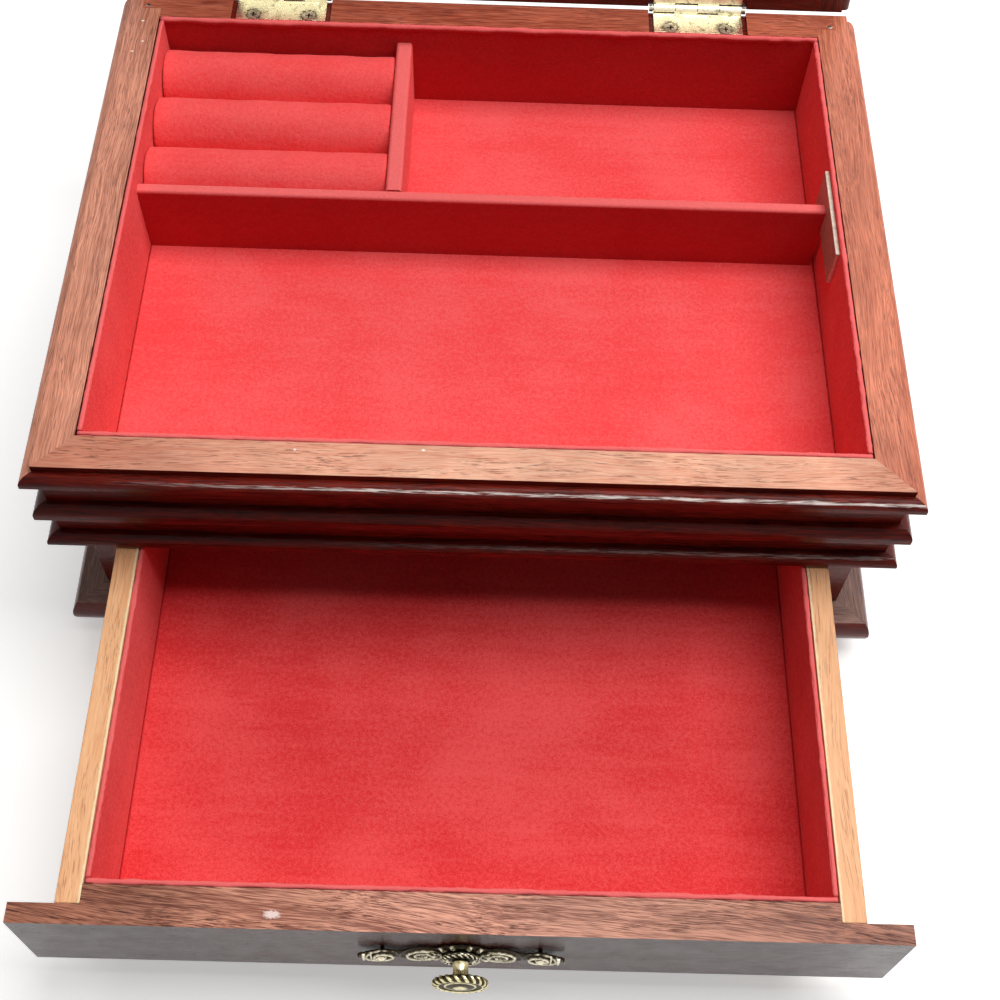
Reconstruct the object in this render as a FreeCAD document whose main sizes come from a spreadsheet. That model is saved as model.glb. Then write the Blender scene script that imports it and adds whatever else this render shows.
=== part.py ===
import FreeCAD, Part
import math
import os
import re
import Sketcher
from FreeCAD import Placement, Rotation, Vector

# A moulded jewellery box: a lined tray under a hinged lid, and a drawer below it on a footed plinth.
# Sizes are in millimetres. While it is built, X runs to the right, Y to the back and Z up, from the
# middle of the case's top front edge, with the lid and the drawer shut. N is the distance outwards
# from the edge of the case's flat top. The pieces then move to their own places, at the end.

SIZES = (
    ("case_width", 273.0, "flat top of the case, edge to edge"),
    ("case_depth", 214.0, "flat top of the case, front to back"),
    ("case_height", 43.0, "moulded walls of the tray"),
    ("wall_thick", 11.9, "front and side walls at the top"),
    ("back_thick", 12.4, "back wall"),
    ("tongue_thick", 8.0, "tongue of the back wall in the side walls"),
    ("tongue_reach", 6.9, "how far the tongue goes into a side wall"),
    ("field_inset", 0.4, "walls between the beads, inside the flat top's edge"),
    ("bead_lip", 0.8, "small round under each bead"),
    ("first_bead_top", 2.6, "step above the first bead"),
    ("first_bead_height", 4.8, ""),
    ("first_bead_out", 4.0, ""),
    ("first_bead_ledge", 1.2, "flat of the step above the first bead"),
    ("second_bead_top", 20.0, ""),
    ("second_bead_height", 6.4, ""),
    ("second_bead_out", 4.0, ""),
    ("third_bead_height", 4.9, "the third bead ends at the foot of the wall"),
    ("third_bead_out", 3.7, ""),
    ("bead_ledge", 0.6, "flat above the lower beads"),
    ("bead_end_round", 3.4, "rounding of the beads' back ends"),
    ("groove_depth", 4.0, "grooves for thin panels in the walls"),
    ("tray_board", 2.5, "thin board under the tray"),
    ("tray_lift", 3.5, "under the tray board, up from the foot of the walls"),
    ("lining_thick", 1.2, "lining on a floor"),
    ("liner_thick", 1.6, "covered board along a tray wall"),
    ("liner_gap", 0.3, "play of a liner at its wall"),
    ("liner_drop", 0.4, "liner below the flat top"),
    ("divider_front", 120.0, "front of the long divider, from the case's front edge"),
    ("divider_thick", 4.5, ""),
    ("divider_drop", 7.3, "dividers and rolls below the flat top"),
    ("short_divider_thick", 6.0, ""),
    ("roll_length", 87.4, "from the left liner to the short divider"),
    ("divider_round", 1.4, ""),
    ("roll_gap", 0.3, "between rolls, and at their ends"),
    ("plate_length", 38.8, "small plate on the right liner"),
    ("plate_height", 15.3, ""),
    ("plate_thick", 1.5, ""),
    ("plate_drop", 2.2, ""),
    ("plate_front", 96.5, ""),
    ("panel_inset", 6.2, "side panels inside the flat top's edge"),
    ("panel_thick", 11.0, ""),
    ("panel_setback", 5.4, "front of the side panels"),
    ("bay_height", 41.1, "side panels, from plinth to case"),
    ("back_panel_thick", 9.0, ""),
    ("plinth_height", 11.0, ""),
    ("plinth_out", 3.4, "top edge of the plinth"),
    ("plinth_toe", 3.9, "bottom edge of the plinth"),
    ("plinth_round", 8.6, "radius of the plinth's face"),
    ("plinth_inner", 18.5, "inner edge of the plinth, inside the flat top's edge"),
    ("rebate_width", 5.0, "rebate for the floor board"),
    ("floor_board", 3.0, ""),
    ("foot_height", 8.0, ""),
    ("foot_radius", 12.0, ""),
    ("foot_rim", 8.75, "foot at its sole and where it meets the plinth"),
    ("foot_inset", 12.0, "middle of a foot, inside the flat top's side and back edges"),
    ("foot_front", 6.6, "middle of a front foot, behind the flat top's front edge"),
    ("front_thick", 11.8, "drawer front"),
    ("lip_thick", 6.0, "drawer front beyond the drawer's sides"),
    ("lip_cover", 1.2, "drawer front past the side panels"),
    ("front_gap", 0.9, "over the drawer front"),
    ("drawer_lift", 0.3, "under the drawer"),
    ("drawer_play", 1.3, "beside the drawer"),
    ("drawer_back_gap", 1.6, "behind the shut drawer"),
    ("side_thick", 7.3, "drawer sides and back"),
    ("drawer_depth", 35.0, "inside the drawer, down to its lining"),
    ("drawer_board", 2.5, ""),
    ("drawer_groove", 3.5, ""),
    ("drawer_liner", 1.5, ""),
    ("drawer_liner_drop", 0.6, ""),
    ("shut_gap", 0.2, "between the drawer's lip and the side panels"),
    ("drawer_out", 126.0, "how far the drawer is pulled out"),
    ("pull_drop", 19.9, "middle of the pull, below the top of the drawer front"),
    ("backplate_thick", 1.6, ""),
    ("plate_half", 31.0, "half the backplate's width"),
    ("plate_centre", 9.5, "radii of the backplate's scallops"),
    ("plate_shoulder", 6.6, ""),
    ("plate_shoulder_offset", 11.5, ""),
    ("plate_lobe", 5.2, ""),
    ("plate_tip", 2.2, ""),
    ("plate_waist", 3.4, "half the height between the scallops"),
    ("boss_radius", 5.6, ""),
    ("boss_height", 1.4, ""),
    ("neck_radius", 2.5, ""),
    ("neck_length", 5.2, "from the boss to the knob"),
    ("knob_radius", 8.2, ""),
    ("knob_thick", 2.8, ""),
    ("knob_flare", 1.2, ""),
    ("flute_radius", 0.7, ""),
    ("flute_count", 20, ""),
    ("knob_screw_radius", 1.5, ""),
    ("knob_screw_head", 3.4, ""),
    ("knob_screw_sink", 1.8, "screw head, let into the drawer front"),
    ("knob_screw_grip", 6.0, "screw in the knob"),
    ("tack_spacing", 47.4, ""),
    ("tack_radius", 0.6, ""),
    ("tack_head", 1.2, ""),
    ("tack_head_thick", 0.6, ""),
    ("tack_length", 6.0, "in the wood"),
    ("lid_gap", 1.0, "between the case and the shut lid"),
    ("lid_inset", 1.9, "lid's flat edge, inside the case's"),
    ("lid_height", 20.0, ""),
    ("lid_step", 1.6, "step under the lid's bead"),
    ("lid_ledge", 0.9, ""),
    ("lid_bead_out", 3.2, ""),
    ("lid_bead_height", 4.6, ""),
    ("lid_cove", 5.0, ""),
    ("lid_panel_thick", 4.0, ""),
    ("lid_recess", 10.0, "inside the lid, up to its lining"),
    ("lid_lining", 1.5, ""),
    ("lid_angle", 100.0, "how far the lid stands open"),
    ("hinge_inset", 57.4, "middle of a hinge, inside the flat top's side edge"),
    ("leaf_width", 33.7, ""),
    ("leaf_thick", 1.1, ""),
    ("leaf_reach", 12.1, "front of a leaf, from the back of the case"),
    ("leaf_play", 1.9, "beside a leaf in its mortise"),
    ("axis_back", 0.4, "hinge axis behind the case"),
    ("knuckle_radius", 1.75, ""),
    ("knuckle_gap", 0.3, "between knuckles"),
    ("knuckle_room", 0.35, "round the knuckles"),
    ("hinge_pin", 0.8, "radius of the pin"),
    ("running_gap", 0.05, "round the pin, in the lid's knuckles"),
    ("pin_head", 1.3, "radius of the pin's ends"),
    ("pin_head_thick", 1.4, ""),
    ("screw_spacing", 21.0, ""),
    ("screw_back", 9.5, "screws, from the back of the case"),
    ("screw_head", 2.45, ""),
    ("screw_shank", 1.2, ""),
    ("screw_length", 9.0, ""),
    ("recess_length", 2.6, "cross recess in a screw head"),
    ("recess_width", 0.6, ""),
    ("recess_depth", 0.6, ""),
    ("nail_radius", 0.9, "nails in the lapped corners"),
    ("nail_length", 14.0, ""),
    ("nail_from_side", 6.9, ""),
    ("nail_from_back", 6.4, ""),
    ("cut_margin", 1.0, "how far a cutting profile runs past the wood"),
)
TOUCH = 1e-4
KNUCKLES = 4
ROLLS = 3

doc = FreeCAD.newDocument("jewellery_box")
sheet = doc.addObject("Spreadsheet::Sheet", "Dims")
for row, (alias, value, note) in enumerate(SIZES, 1):
    sheet.set(f"A{row}", alias)
    sheet.set(f"B{row}", str(value))
    sheet.setAlias(f"B{row}", alias)
    sheet.set(f"C{row}", note)
doc.recompute()

ALIAS = re.compile(r"\b(" + "|".join(alias for alias, _, _ in SIZES) + r")\b")
nodes = []


def tied(text):
    """An expression in the sheet's aliases, as FreeCAD's other objects read it."""
    return ALIAS.sub(r"Dims.\1", str(text))


def size(text):
    """The value of such an expression."""
    return float(sheet.evalExpression(tied(text)))


# Sketches and features ------------------------------------------------------------------------

PLANES = {"x": "YZ_Plane", "y": "XZ_Plane", "z": "XY_Plane"}


def new_body(name):
    return doc.addObject("PartDesign::Body", name)


def origin_plane(body, axis):
    return next(o for o in body.Origin.OriginFeatures if getattr(o, "Role", "") == PLANES[axis])


def sketch_at(body, name, axis, at):
    """An empty sketch across one axis. The XZ plane faces -Y, so its offset changes sign."""
    sketch = body.newObject("Sketcher::SketchObject", name)
    sketch.AttachmentSupport = [(origin_plane(body, axis), "")]
    sketch.MapMode = "FlatFace"
    sketch.setExpression("AttachmentOffset.Base.z", tied(f"-({at})" if axis == "y" else at))
    return sketch


def fix_point(sketch, geo, end, across, up):
    for kind, text in (("DistanceX", across), ("DistanceY", up)):
        number = sketch.addConstraint(Sketcher.Constraint(kind, -1, 1, geo, end, size(text)))
        sketch.setExpression(f"Constraints[{number}]", tied(text))


def draw_circle(sketch, across, up, radius):
    centre = Vector(size(across), size(up), 0)
    geo = sketch.addGeometry(Part.Circle(centre, Vector(0, 0, 1), size(radius)), False)
    fix_point(sketch, geo, 3, across, up)
    number = sketch.addConstraint(Sketcher.Constraint("Radius", geo, size(radius)))
    sketch.setExpression(f"Constraints[{number}]", tied(radius))


def draw_loop(sketch, corners):
    """A closed outline. A corner is (across, up), or (across, up, centre, radius) before an arc."""
    points = [Vector(size(c[0]), size(c[1]), 0) for c in corners]
    ends = []
    for here, corner in enumerate(corners):
        start, stop = points[here], points[(here + 1) % len(points)]
        if len(corner) == 2:
            geo = sketch.addGeometry(Part.LineSegment(start, stop), False)
            ends.append((geo, 1, 2))
            continue
        middle = Vector(size(corner[2][0]), size(corner[2][1]), 0)
        a, b = start - middle, stop - middle
        forward = a.x * b.y - a.y * b.x > 0
        first, last = (a, b) if forward else (b, a)
        angles = [math.atan2(v.y, v.x) for v in (first, last)]
        if angles[1] < angles[0]:
            angles[1] += 2 * math.pi
        circle = Part.Circle(middle, Vector(0, 0, 1), size(corner[3]))
        geo = sketch.addGeometry(Part.ArcOfCircle(circle, *angles), False)
        ends.append((geo, 1, 2) if forward else (geo, 2, 1))
    for here, corner in enumerate(corners):
        geo, start, _ = ends[here]
        before, _, stop = ends[here - 1]
        sketch.addConstraint(Sketcher.Constraint("Coincident", before, stop, geo, start))
        fix_point(sketch, geo, start, corner[0], corner[1])
        if len(corner) == 4:
            number = sketch.addConstraint(Sketcher.Constraint("Radius", geo, size(corner[3])))
            sketch.setExpression(f"Constraints[{number}]", tied(corner[3]))


def rectangle(across, up):
    return [(across[0], up[0]), (across[1], up[0]), (across[1], up[1]), (across[0], up[1])]


def pad(body, name, axis, span, *outlines):
    """Adds wood or metal between span[0] and span[1] along the axis."""
    sketch = sketch_at(body, f"{name}_sketch", axis, span[1] if axis == "y" else span[0])
    for outline in outlines:
        draw_loop(sketch, outline) if isinstance(outline, list) else draw_circle(sketch, *outline)
    feature = body.newObject("PartDesign::Pad", name)
    feature.Profile = sketch
    feature.setExpression("Length", tied(f"({span[1]}) - ({span[0]})"))
    return feature


def volume(body):
    doc.recompute()
    return body.Shape.Volume


def cut(body, name, axis, span, *outlines):
    """Takes it away again. A pocket runs against its sketch's normal."""
    before = volume(body)
    sketch = sketch_at(body, f"{name}_sketch", axis, span[0] if axis == "y" else span[1])
    for outline in outlines:
        draw_loop(sketch, outline) if isinstance(outline, list) else draw_circle(sketch, *outline)
    feature = body.newObject("PartDesign::Pocket", name)
    feature.Profile = sketch
    feature.setExpression("Length", tied(f"({span[1]}) - ({span[0]})"))
    if volume(body) >= before:
        raise RuntimeError(f"{body.Name}: {name} removes nothing")
    return feature


def drill(body, name, place, radii, length):
    """A round or conical hole down Z: place is the middle of its low end, radii go from low to high."""
    before = volume(body)
    if radii[0] == radii[1]:
        tool = body.newObject("PartDesign::SubtractiveCylinder", name)
        tool.setExpression("Radius", tied(radii[0]))
    else:
        tool = body.newObject("PartDesign::SubtractiveCone", name)
        tool.setExpression("Radius1", tied(radii[0]))
        tool.setExpression("Radius2", tied(radii[1]))
    tool.setExpression("Height", tied(length))
    tool.AttachmentSupport = [(origin_plane(body, "z"), "")]
    tool.MapMode = "FlatFace"
    for letter, text in zip("xyz", place):
        tool.setExpression(f"AttachmentOffset.Base.{letter}", tied(text))
    if volume(body) >= before:
        raise RuntimeError(f"{body.Name}: {name} removes nothing")


def turned(body, name, outline):
    """A solid of revolution round Z. The outline is (radius, up) and touches the axis."""
    sketch = sketch_at(body, f"{name}_sketch", "y", "0")
    draw_loop(sketch, outline)
    feature = body.newObject("PartDesign::Revolution", name)
    feature.Profile = sketch
    feature.ReferenceAxis = (sketch, ["V_Axis"])
    feature.Angle = 360
    return feature


def soften(body, name, radius, chosen):
    """Rounds the edges whose middles pass the test."""
    doc.recompute()
    edges = [f"Edge{i}" for i, edge in enumerate(body.Shape.Edges, 1) if chosen(edge)]
    base = body.Tip
    feature = body.newObject("PartDesign::Fillet", name)
    feature.Base = (base, edges)
    feature.setExpression("Radius", tied(radius))
    return feature


def board(name, x, y, z):
    """A plain rectangular piece, from its low and high limits."""
    block = doc.addObject("Part::Box", name)
    for side, (low, high) in zip(("Length", "Width", "Height"), (x, y, z)):
        block.setExpression(side, tied(f"({high}) - ({low})"))
    block.Placement = Placement(Vector(size(x[0]), size(y[0]), size(z[0])), Rotation())
    return block


def several(name, template, places):
    """Equal pieces in one node, as separate solids: copies of a template at their places."""
    copies = []
    for place in places:
        copy = template.Shape.copy()
        copy.Placement = place.multiply(copy.Placement)
        copies.append(copy)
    feature = doc.addObject("Part::Feature", name)
    feature.Shape = Part.Compound(copies)
    return feature


def keep(thing, group):
    """Marks an object as a sub-part of the case, the drawer or the lid."""
    thing.Label = thing.Name
    nodes.append((thing, group))
    return thing


# Places that several pieces share ---------------------------------------------------------------

HALF = "case_width / 2"
INSIDE = f"({HALF} - wall_thick)"
TRAY_FRONT = "wall_thick"
TRAY_BACK = "(case_depth - back_thick)"
CASE_LOW = "(-case_height)"
BOARD_LOW = f"({CASE_LOW} + tray_lift)"
BOARD_TOP = f"({BOARD_LOW} + tray_board)"
TRAY_FLOOR = f"({BOARD_TOP} + lining_thick)"
PANEL_OUT = f"({HALF} - panel_inset)"
PANEL_IN = f"({PANEL_OUT} - panel_thick)"
PLINTH_TOP = f"({CASE_LOW} - bay_height)"
PLINTH_LOW = f"({PLINTH_TOP} - plinth_height)"
PLINTH_IN = f"({HALF} - plinth_inner)"
PANEL_BACK = "(case_depth - panel_setback)"
BAY_BACK = f"({PANEL_BACK} - back_panel_thick)"
HINGES = (("left", f"-({HALF} - hinge_inset)"), ("right", f"({HALF} - hinge_inset)"))
AXIS_Y = "(case_depth + axis_back)"
AXIS_Z = "(lid_gap / 2)"


def sides(text):
    return (f"-({text})", text)


# Moulded frames: a profile in N and Z, run round the front and both sides ------------------------


def bead(wall_above, wall_below, top, ledge, out, height, up=False):
    """A ledge, a quarter round, a short flat and a small round, going down the wall (or up it)."""
    sign = "" if up else "-"
    low = f"{top} + {height}"
    curve = f"({out} - ({ledge}))"
    return [
        (wall_above, f"{sign}({top})"),
        (ledge, f"{sign}({top})", (ledge, f"{sign}({top} + {curve})"), curve),
        (out, f"{sign}({top} + {curve})"),
        (out, f"{sign}({low} - bead_lip)", (f"{out} - bead_lip", f"{sign}({low} - bead_lip)"), "bead_lip"),
        (f"{out} - bead_lip", f"{sign}({low})"),
        (wall_below, f"{sign}({low})"),
    ]


def case_profile():
    field = "-field_inset"
    lower_ledge = f"{field} + bead_ledge"
    third_top = "(case_height - third_bead_height)"
    inner = "-wall_thick"
    grooved = "-wall_thick + groove_depth"
    outline = [(inner, "0"), ("0", "0")]
    outline += bead("0", field, "first_bead_top", "first_bead_ledge", "first_bead_out", "first_bead_height")
    outline += bead(field, field, "second_bead_top", lower_ledge, "second_bead_out", "second_bead_height")
    outline += bead(field, field, third_top, lower_ledge, "third_bead_out", "third_bead_height")[:-1]
    outline += [(inner, CASE_LOW), (inner, BOARD_LOW), (grooved, BOARD_LOW)]
    outline += [(grooved, BOARD_TOP), (inner, BOARD_TOP)]
    return outline


def lid_profile():
    """The lid's rails, from their underside up, with the panel's groove inside."""
    edge = "-lid_inset"
    field = f"{edge} - field_inset"
    inner = f"{edge} - wall_thick"
    grooved = f"{inner} + groove_depth"
    top = "lid_gap + lid_height"
    outline = [(inner, "lid_gap"), (edge, "lid_gap")]
    outline += bead(edge, field, "(lid_gap + lid_step)", f"{edge} + lid_ledge",
                    f"({edge} + lid_bead_out)", "lid_bead_height", up=True)
    outline += [(field, f"{top} - lid_cove", (field, top), "lid_cove"), (f"{field} - lid_cove", top)]
    outline += [(inner, top), (inner, LID_PANEL[1]), (grooved, LID_PANEL[1])]
    outline += [(grooved, LID_PANEL[0]), (inner, LID_PANEL[0])]
    return outline


def plinth_profile():
    """A bulging face over a plain foot, with a rebate for the floor board inside."""
    inner, step = "-plinth_inner", "-plinth_inner + rebate_width"
    low, floor_low = PLINTH_LOW, f"{PLINTH_TOP} - floor_board"
    half_chord = "(sqrt(plinth_height ^ 2 + (plinth_out - plinth_toe) ^ 2) / 2)"
    back = f"(sqrt(plinth_round ^ 2 - {half_chord} ^ 2) / {half_chord} / 2)"
    centre = (
        f"(plinth_out + plinth_toe) / 2 - plinth_height * {back}",
        f"({PLINTH_TOP} + {low}) / 2 + (plinth_out - plinth_toe) * {back}",
    )
    return [
        (step, PLINTH_TOP),
        ("plinth_out", PLINTH_TOP, centre, "plinth_round"),
        ("plinth_toe", low),
        (inner, low),
        (inner, floor_low),
        (step, floor_low),
    ]


def turned_to(outline, place):
    """The same profile, with N led through a formula for one side of the box."""
    corners = []
    for corner in outline:
        rest = ((place(corner[2][0]), corner[2][1]), corner[3]) if len(corner) == 4 else ()
        corners.append((place(corner[0]), corner[1], *rest))
    return corners


def moulded_frame(prefix, group, outline, deepest, furthest, low, high, back_end):
    """Front, left and right rails, mitred at the front corners on the line Y = HALF - X."""
    limits = (f"({low}) - cut_margin", f"({high}) + cut_margin")
    outer, inner = f"({HALF} + {furthest})", f"({HALF} - {deepest})"
    front = new_body(f"{prefix}_front")
    pad(front, "rail", "x", (f"-{outer}", outer), turned_to(outline, lambda n: f"-({n})"))
    far, near, reach_y = f"{outer} + cut_margin", f"{inner} - cut_margin", f"{deepest} + cut_margin"
    ahead = f"-({furthest}) - cut_margin"
    for sign, side in (("", "right"), ("-", "left")):
        wedge = [(f"{sign}({near})", reach_y), (f"{sign}({far})", ahead), (f"{sign}({far})", reach_y)]
        cut(front, f"{side}_mitre", "z", limits, wedge)
    made = {"front": keep(front, group)}
    for sign, side in (("-", "left"), ("", "right")):
        rail = new_body(f"{prefix}_{side}")
        place = lambda n, sign=sign: f"{sign}({HALF} + {n})"
        pad(rail, "rail", "y", (f"-({furthest})", back_end), turned_to(outline, place))
        wedge = [(f"{sign}({near})", reach_y), (f"{sign}({far})", ahead), (f"{sign}({near})", ahead)]
        cut(rail, "mitre", "z", limits, wedge)
        made[side] = keep(rail, group)
    return made


def round_bead_ends(rail, sign, furthest, limits):
    out, start = f"({HALF} + {furthest})", "(case_depth - bead_end_round)"
    inside = f"({out} - bead_end_round)"
    outline = [
        (f"{sign}{out}", start, (f"{sign}{inside}", start), "bead_end_round"),
        (f"{sign}{inside}", "case_depth"),
        (f"{sign}{inside}", "case_depth + cut_margin"),
        (f"{sign}({out} + cut_margin)", "case_depth + cut_margin"),
        (f"{sign}({out} + cut_margin)", start),
    ]
    cut(rail, "bead_ends", "z", limits, outline)


def mortise(body, limits, name, centre):
    """The seat of a hinge leaf, and the hollow for its knuckles."""
    wide = (f"{centre} - leaf_width / 2 - leaf_play", f"{centre} + leaf_width / 2 + leaf_play")
    along = (f"{TRAY_BACK} - cut_margin", "case_depth + cut_margin")
    cut(body, f"{name}_seat", "z", limits, rectangle(wide, along))
    cut(body, f"{name}_hollow", "x", wide, (AXIS_Y, AXIS_Z, "knuckle_radius + knuckle_room"))


def screw_places(height):
    return [
        (f"{centre} {half} screw_spacing / 2", "case_depth - screw_back", height)
        for _, centre in HINGES
        for half in ("-", "+")
    ]


# Case --------------------------------------------------------------------------------------------

WIDEST = "max(first_bead_out; second_bead_out; third_bead_out)"
case = moulded_frame("case", "case", case_profile(), "wall_thick", WIDEST, CASE_LOW, "0", "case_depth")
CASE_CUT = (f"{CASE_LOW} - cut_margin", "cut_margin")
for side, sign in (("left", "-"), ("right", "")):
    tongue = (f"{sign}({INSIDE} - cut_margin)", f"{sign}({INSIDE} + tongue_reach)")
    behind = ("case_depth - tongue_thick", "case_depth + cut_margin")
    cut(case[side], "lap", "z", CASE_CUT, rectangle(tongue, behind))
    round_bead_ends(case[side], sign, WIDEST, CASE_CUT)

back = new_body("case_back")
lapped = f"({INSIDE} + tongue_reach)"
tongue_face = "case_depth - tongue_thick"
pad(back, "board", "z", (CASE_LOW, "0"), [
    (f"-{INSIDE}", TRAY_BACK), (INSIDE, TRAY_BACK), (INSIDE, tongue_face), (lapped, tongue_face),
    (lapped, "case_depth"), (f"-{lapped}", "case_depth"), (f"-{lapped}", tongue_face),
    (f"-{INSIDE}", tongue_face),
])
cut(back, "groove", "x", sides(f"{INSIDE} + cut_margin"), rectangle(
    (f"{TRAY_BACK} - cut_margin", f"{TRAY_BACK} + groove_depth"), (BOARD_LOW, BOARD_TOP)))
for side, centre in HINGES:
    mortise(back, ("-leaf_thick", "cut_margin"), side, centre)
SCREW_LOW = "-screw_length"
for count, place in enumerate(screw_places(SCREW_LOW), 1):
    drill(back, f"screw_hole{count}", place, ("screw_shank", "screw_shank"), "screw_length + cut_margin")
NAILS = [(f"{sign}({HALF} - nail_from_side)", "case_depth - nail_from_back") for sign in ("-", "")]
for count, (across, along) in enumerate(NAILS, 1):
    drill(back, f"nail_hole{count}", (across, along, "-nail_length"), ("nail_radius", "nail_radius"),
          "nail_length + cut_margin")
keep(back, "case")

nail = doc.addObject("Part::Cylinder", "nail_template")
nail.setExpression("Radius", tied("nail_radius"))
nail.setExpression("Height", tied("nail_length"))
doc.recompute()
keep(several("case_nails", nail, [
    Placement(Vector(size(across), size(along), -size("nail_length")), Rotation()) for across, along in NAILS
]), "case")

# Tray --------------------------------------------------------------------------------------------

seat = "groove_depth"
keep(board("tray_bottom", sides(f"{INSIDE} + {seat}"), (f"{TRAY_FRONT} - {seat}", f"{TRAY_BACK} + {seat}"),
           (BOARD_LOW, BOARD_TOP)), "case")
keep(board("tray_lining", sides(INSIDE), (TRAY_FRONT, TRAY_BACK), (BOARD_TOP, TRAY_FLOOR)), "case")

LINER_OUT = f"({INSIDE} - liner_gap)"
LINER_IN = f"({LINER_OUT} - liner_thick)"
LINER_FRONT = f"({TRAY_FRONT} + liner_gap + liner_thick)"
LINER_BACK = f"({TRAY_BACK} - liner_gap - liner_thick)"
LINER_Z = (TRAY_FLOOR, "-liner_drop")
DIVIDER_Z = (TRAY_FLOOR, "-divider_drop")
AT_FRONT = (f"{LINER_FRONT} - liner_thick", LINER_FRONT)
AT_BACK = (LINER_BACK, f"{LINER_BACK} + liner_thick")
keep(board("tray_liner_front", sides(LINER_OUT), AT_FRONT, LINER_Z), "case")
keep(board("tray_liner_back", sides(LINER_OUT), AT_BACK, LINER_Z), "case")
keep(board("tray_liner_left", (f"-{LINER_OUT}", f"-{LINER_IN}"), (LINER_FRONT, LINER_BACK), LINER_Z), "case")
keep(board("tray_liner_right", (LINER_IN, LINER_OUT), (LINER_FRONT, LINER_BACK), LINER_Z), "case")

PLATE_IN = f"({LINER_IN} - plate_thick)"
keep(board("wall_plate", (PLATE_IN, LINER_IN), ("plate_front", "plate_front + plate_length"),
           ("-plate_drop - plate_height", "-plate_drop")), "case")

DIVIDER_BACK = "(divider_front + divider_thick)"
SHORT_LEFT = f"(-{LINER_IN} + roll_length)"


def is_top_edge(along):
    """Edges on top of a divider that run along X (0) or Y (1)."""
    top = size("-divider_drop")

    def test(edge):
        box = edge.BoundBox
        length = (box.XLength, box.YLength)
        return min(box.ZMin, box.ZMax) > top - TOUCH and length[along] > length[1 - along]

    return test


divider = new_body("divider_long")
pad(divider, "board", "z", DIVIDER_Z, [
    (f"-{LINER_IN}", "divider_front"), (PLATE_IN, "divider_front"), (PLATE_IN, DIVIDER_BACK),
    (f"-{LINER_IN}", DIVIDER_BACK)])
soften(divider, "top_round", "divider_round", is_top_edge(0))
keep(divider, "case")

divider = new_body("divider_short")
pad(divider, "board", "z", DIVIDER_Z, rectangle(
    (SHORT_LEFT, f"{SHORT_LEFT} + short_divider_thick"), (DIVIDER_BACK, LINER_BACK)))
soften(divider, "top_round", "divider_round", is_top_edge(1))
keep(divider, "case")

ROLL_PITCH = f"(({LINER_BACK} - {DIVIDER_BACK}) / {ROLLS})"
ROLL_RADIUS = f"(({ROLL_PITCH} - roll_gap) / 2)"
for count in range(ROLLS):
    roll = new_body(f"ring_roll_{count + 1}")
    middle = f"({DIVIDER_BACK} + {ROLL_PITCH} * {count + 0.5})"
    spring = f"(-divider_drop - {ROLL_RADIUS})"
    near, far = f"{middle} - {ROLL_RADIUS}", f"{middle} + {ROLL_RADIUS}"
    crest = "-divider_drop"
    pad(roll, "roll", "x", (f"-{LINER_IN} + roll_gap", f"{SHORT_LEFT} - roll_gap"), [
        (near, TRAY_FLOOR), (far, TRAY_FLOOR), (far, spring, (middle, spring), ROLL_RADIUS),
        (middle, crest, (middle, spring), ROLL_RADIUS), (near, spring)])
    keep(roll, "case")

# Base --------------------------------------------------------------------------------------------

PANEL_Z = (PLINTH_TOP, CASE_LOW)
PANEL_Y = ("panel_setback", PANEL_BACK)
keep(board("side_panel_left", (f"-{PANEL_OUT}", f"-{PANEL_IN}"), PANEL_Y, PANEL_Z), "case")
keep(board("side_panel_right", (PANEL_IN, PANEL_OUT), PANEL_Y, PANEL_Z), "case")
keep(board("back_panel", sides(PANEL_IN), (BAY_BACK, PANEL_BACK), PANEL_Z), "case")

PLINTH_BULGE = "(plinth_out + plinth_toe)"
moulded_frame("plinth", "case", plinth_profile(), "plinth_inner", PLINTH_BULGE, PLINTH_LOW, PLINTH_TOP,
              "case_depth")
PLINTH_BACK = "(case_depth - plinth_inner)"
floor_low = f"({PLINTH_TOP} - floor_board)"
rail = new_body("plinth_back")
pad(rail, "rail", "x", sides(PLINTH_IN), [
    (PLINTH_BACK, PLINTH_LOW), ("case_depth", PLINTH_LOW), ("case_depth", PLINTH_TOP),
    (f"{PLINTH_BACK} + rebate_width", PLINTH_TOP), (f"{PLINTH_BACK} + rebate_width", floor_low),
    (PLINTH_BACK, floor_low)])
keep(rail, "case")
keep(board("bay_floor", sides(f"{PLINTH_IN} + rebate_width"),
           ("plinth_inner - rebate_width", f"{PLINTH_BACK} + rebate_width"), (floor_low, PLINTH_TOP)), "case")

def foot_at(across, along, height):
    return Placement(Vector(size(across), size(along), size(height)), Rotation())


for depth, along in (("front", "foot_front"), ("back", "case_depth - foot_inset")):
    for side, sign in (("left", "-"), ("right", "")):
        foot = new_body(f"foot_{depth}_{side}")
        swell = "(foot_radius - foot_rim)"
        bulge = f"(((foot_height / 2) ^ 2 + {swell} ^ 2) / 2 / {swell})"
        turned(foot, "bun", [
            ("0", "0"),
            ("foot_rim", "0", (f"foot_radius - {bulge}", "foot_height / 2"), bulge),
            ("foot_rim", "foot_height"),
            ("0", "foot_height"),
        ])
        foot.Placement = foot_at(f"{sign}({HALF} - foot_inset)", along, f"{PLINTH_LOW} - foot_height")
        keep(foot, "case")

# Hinges ------------------------------------------------------------------------------------------


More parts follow.
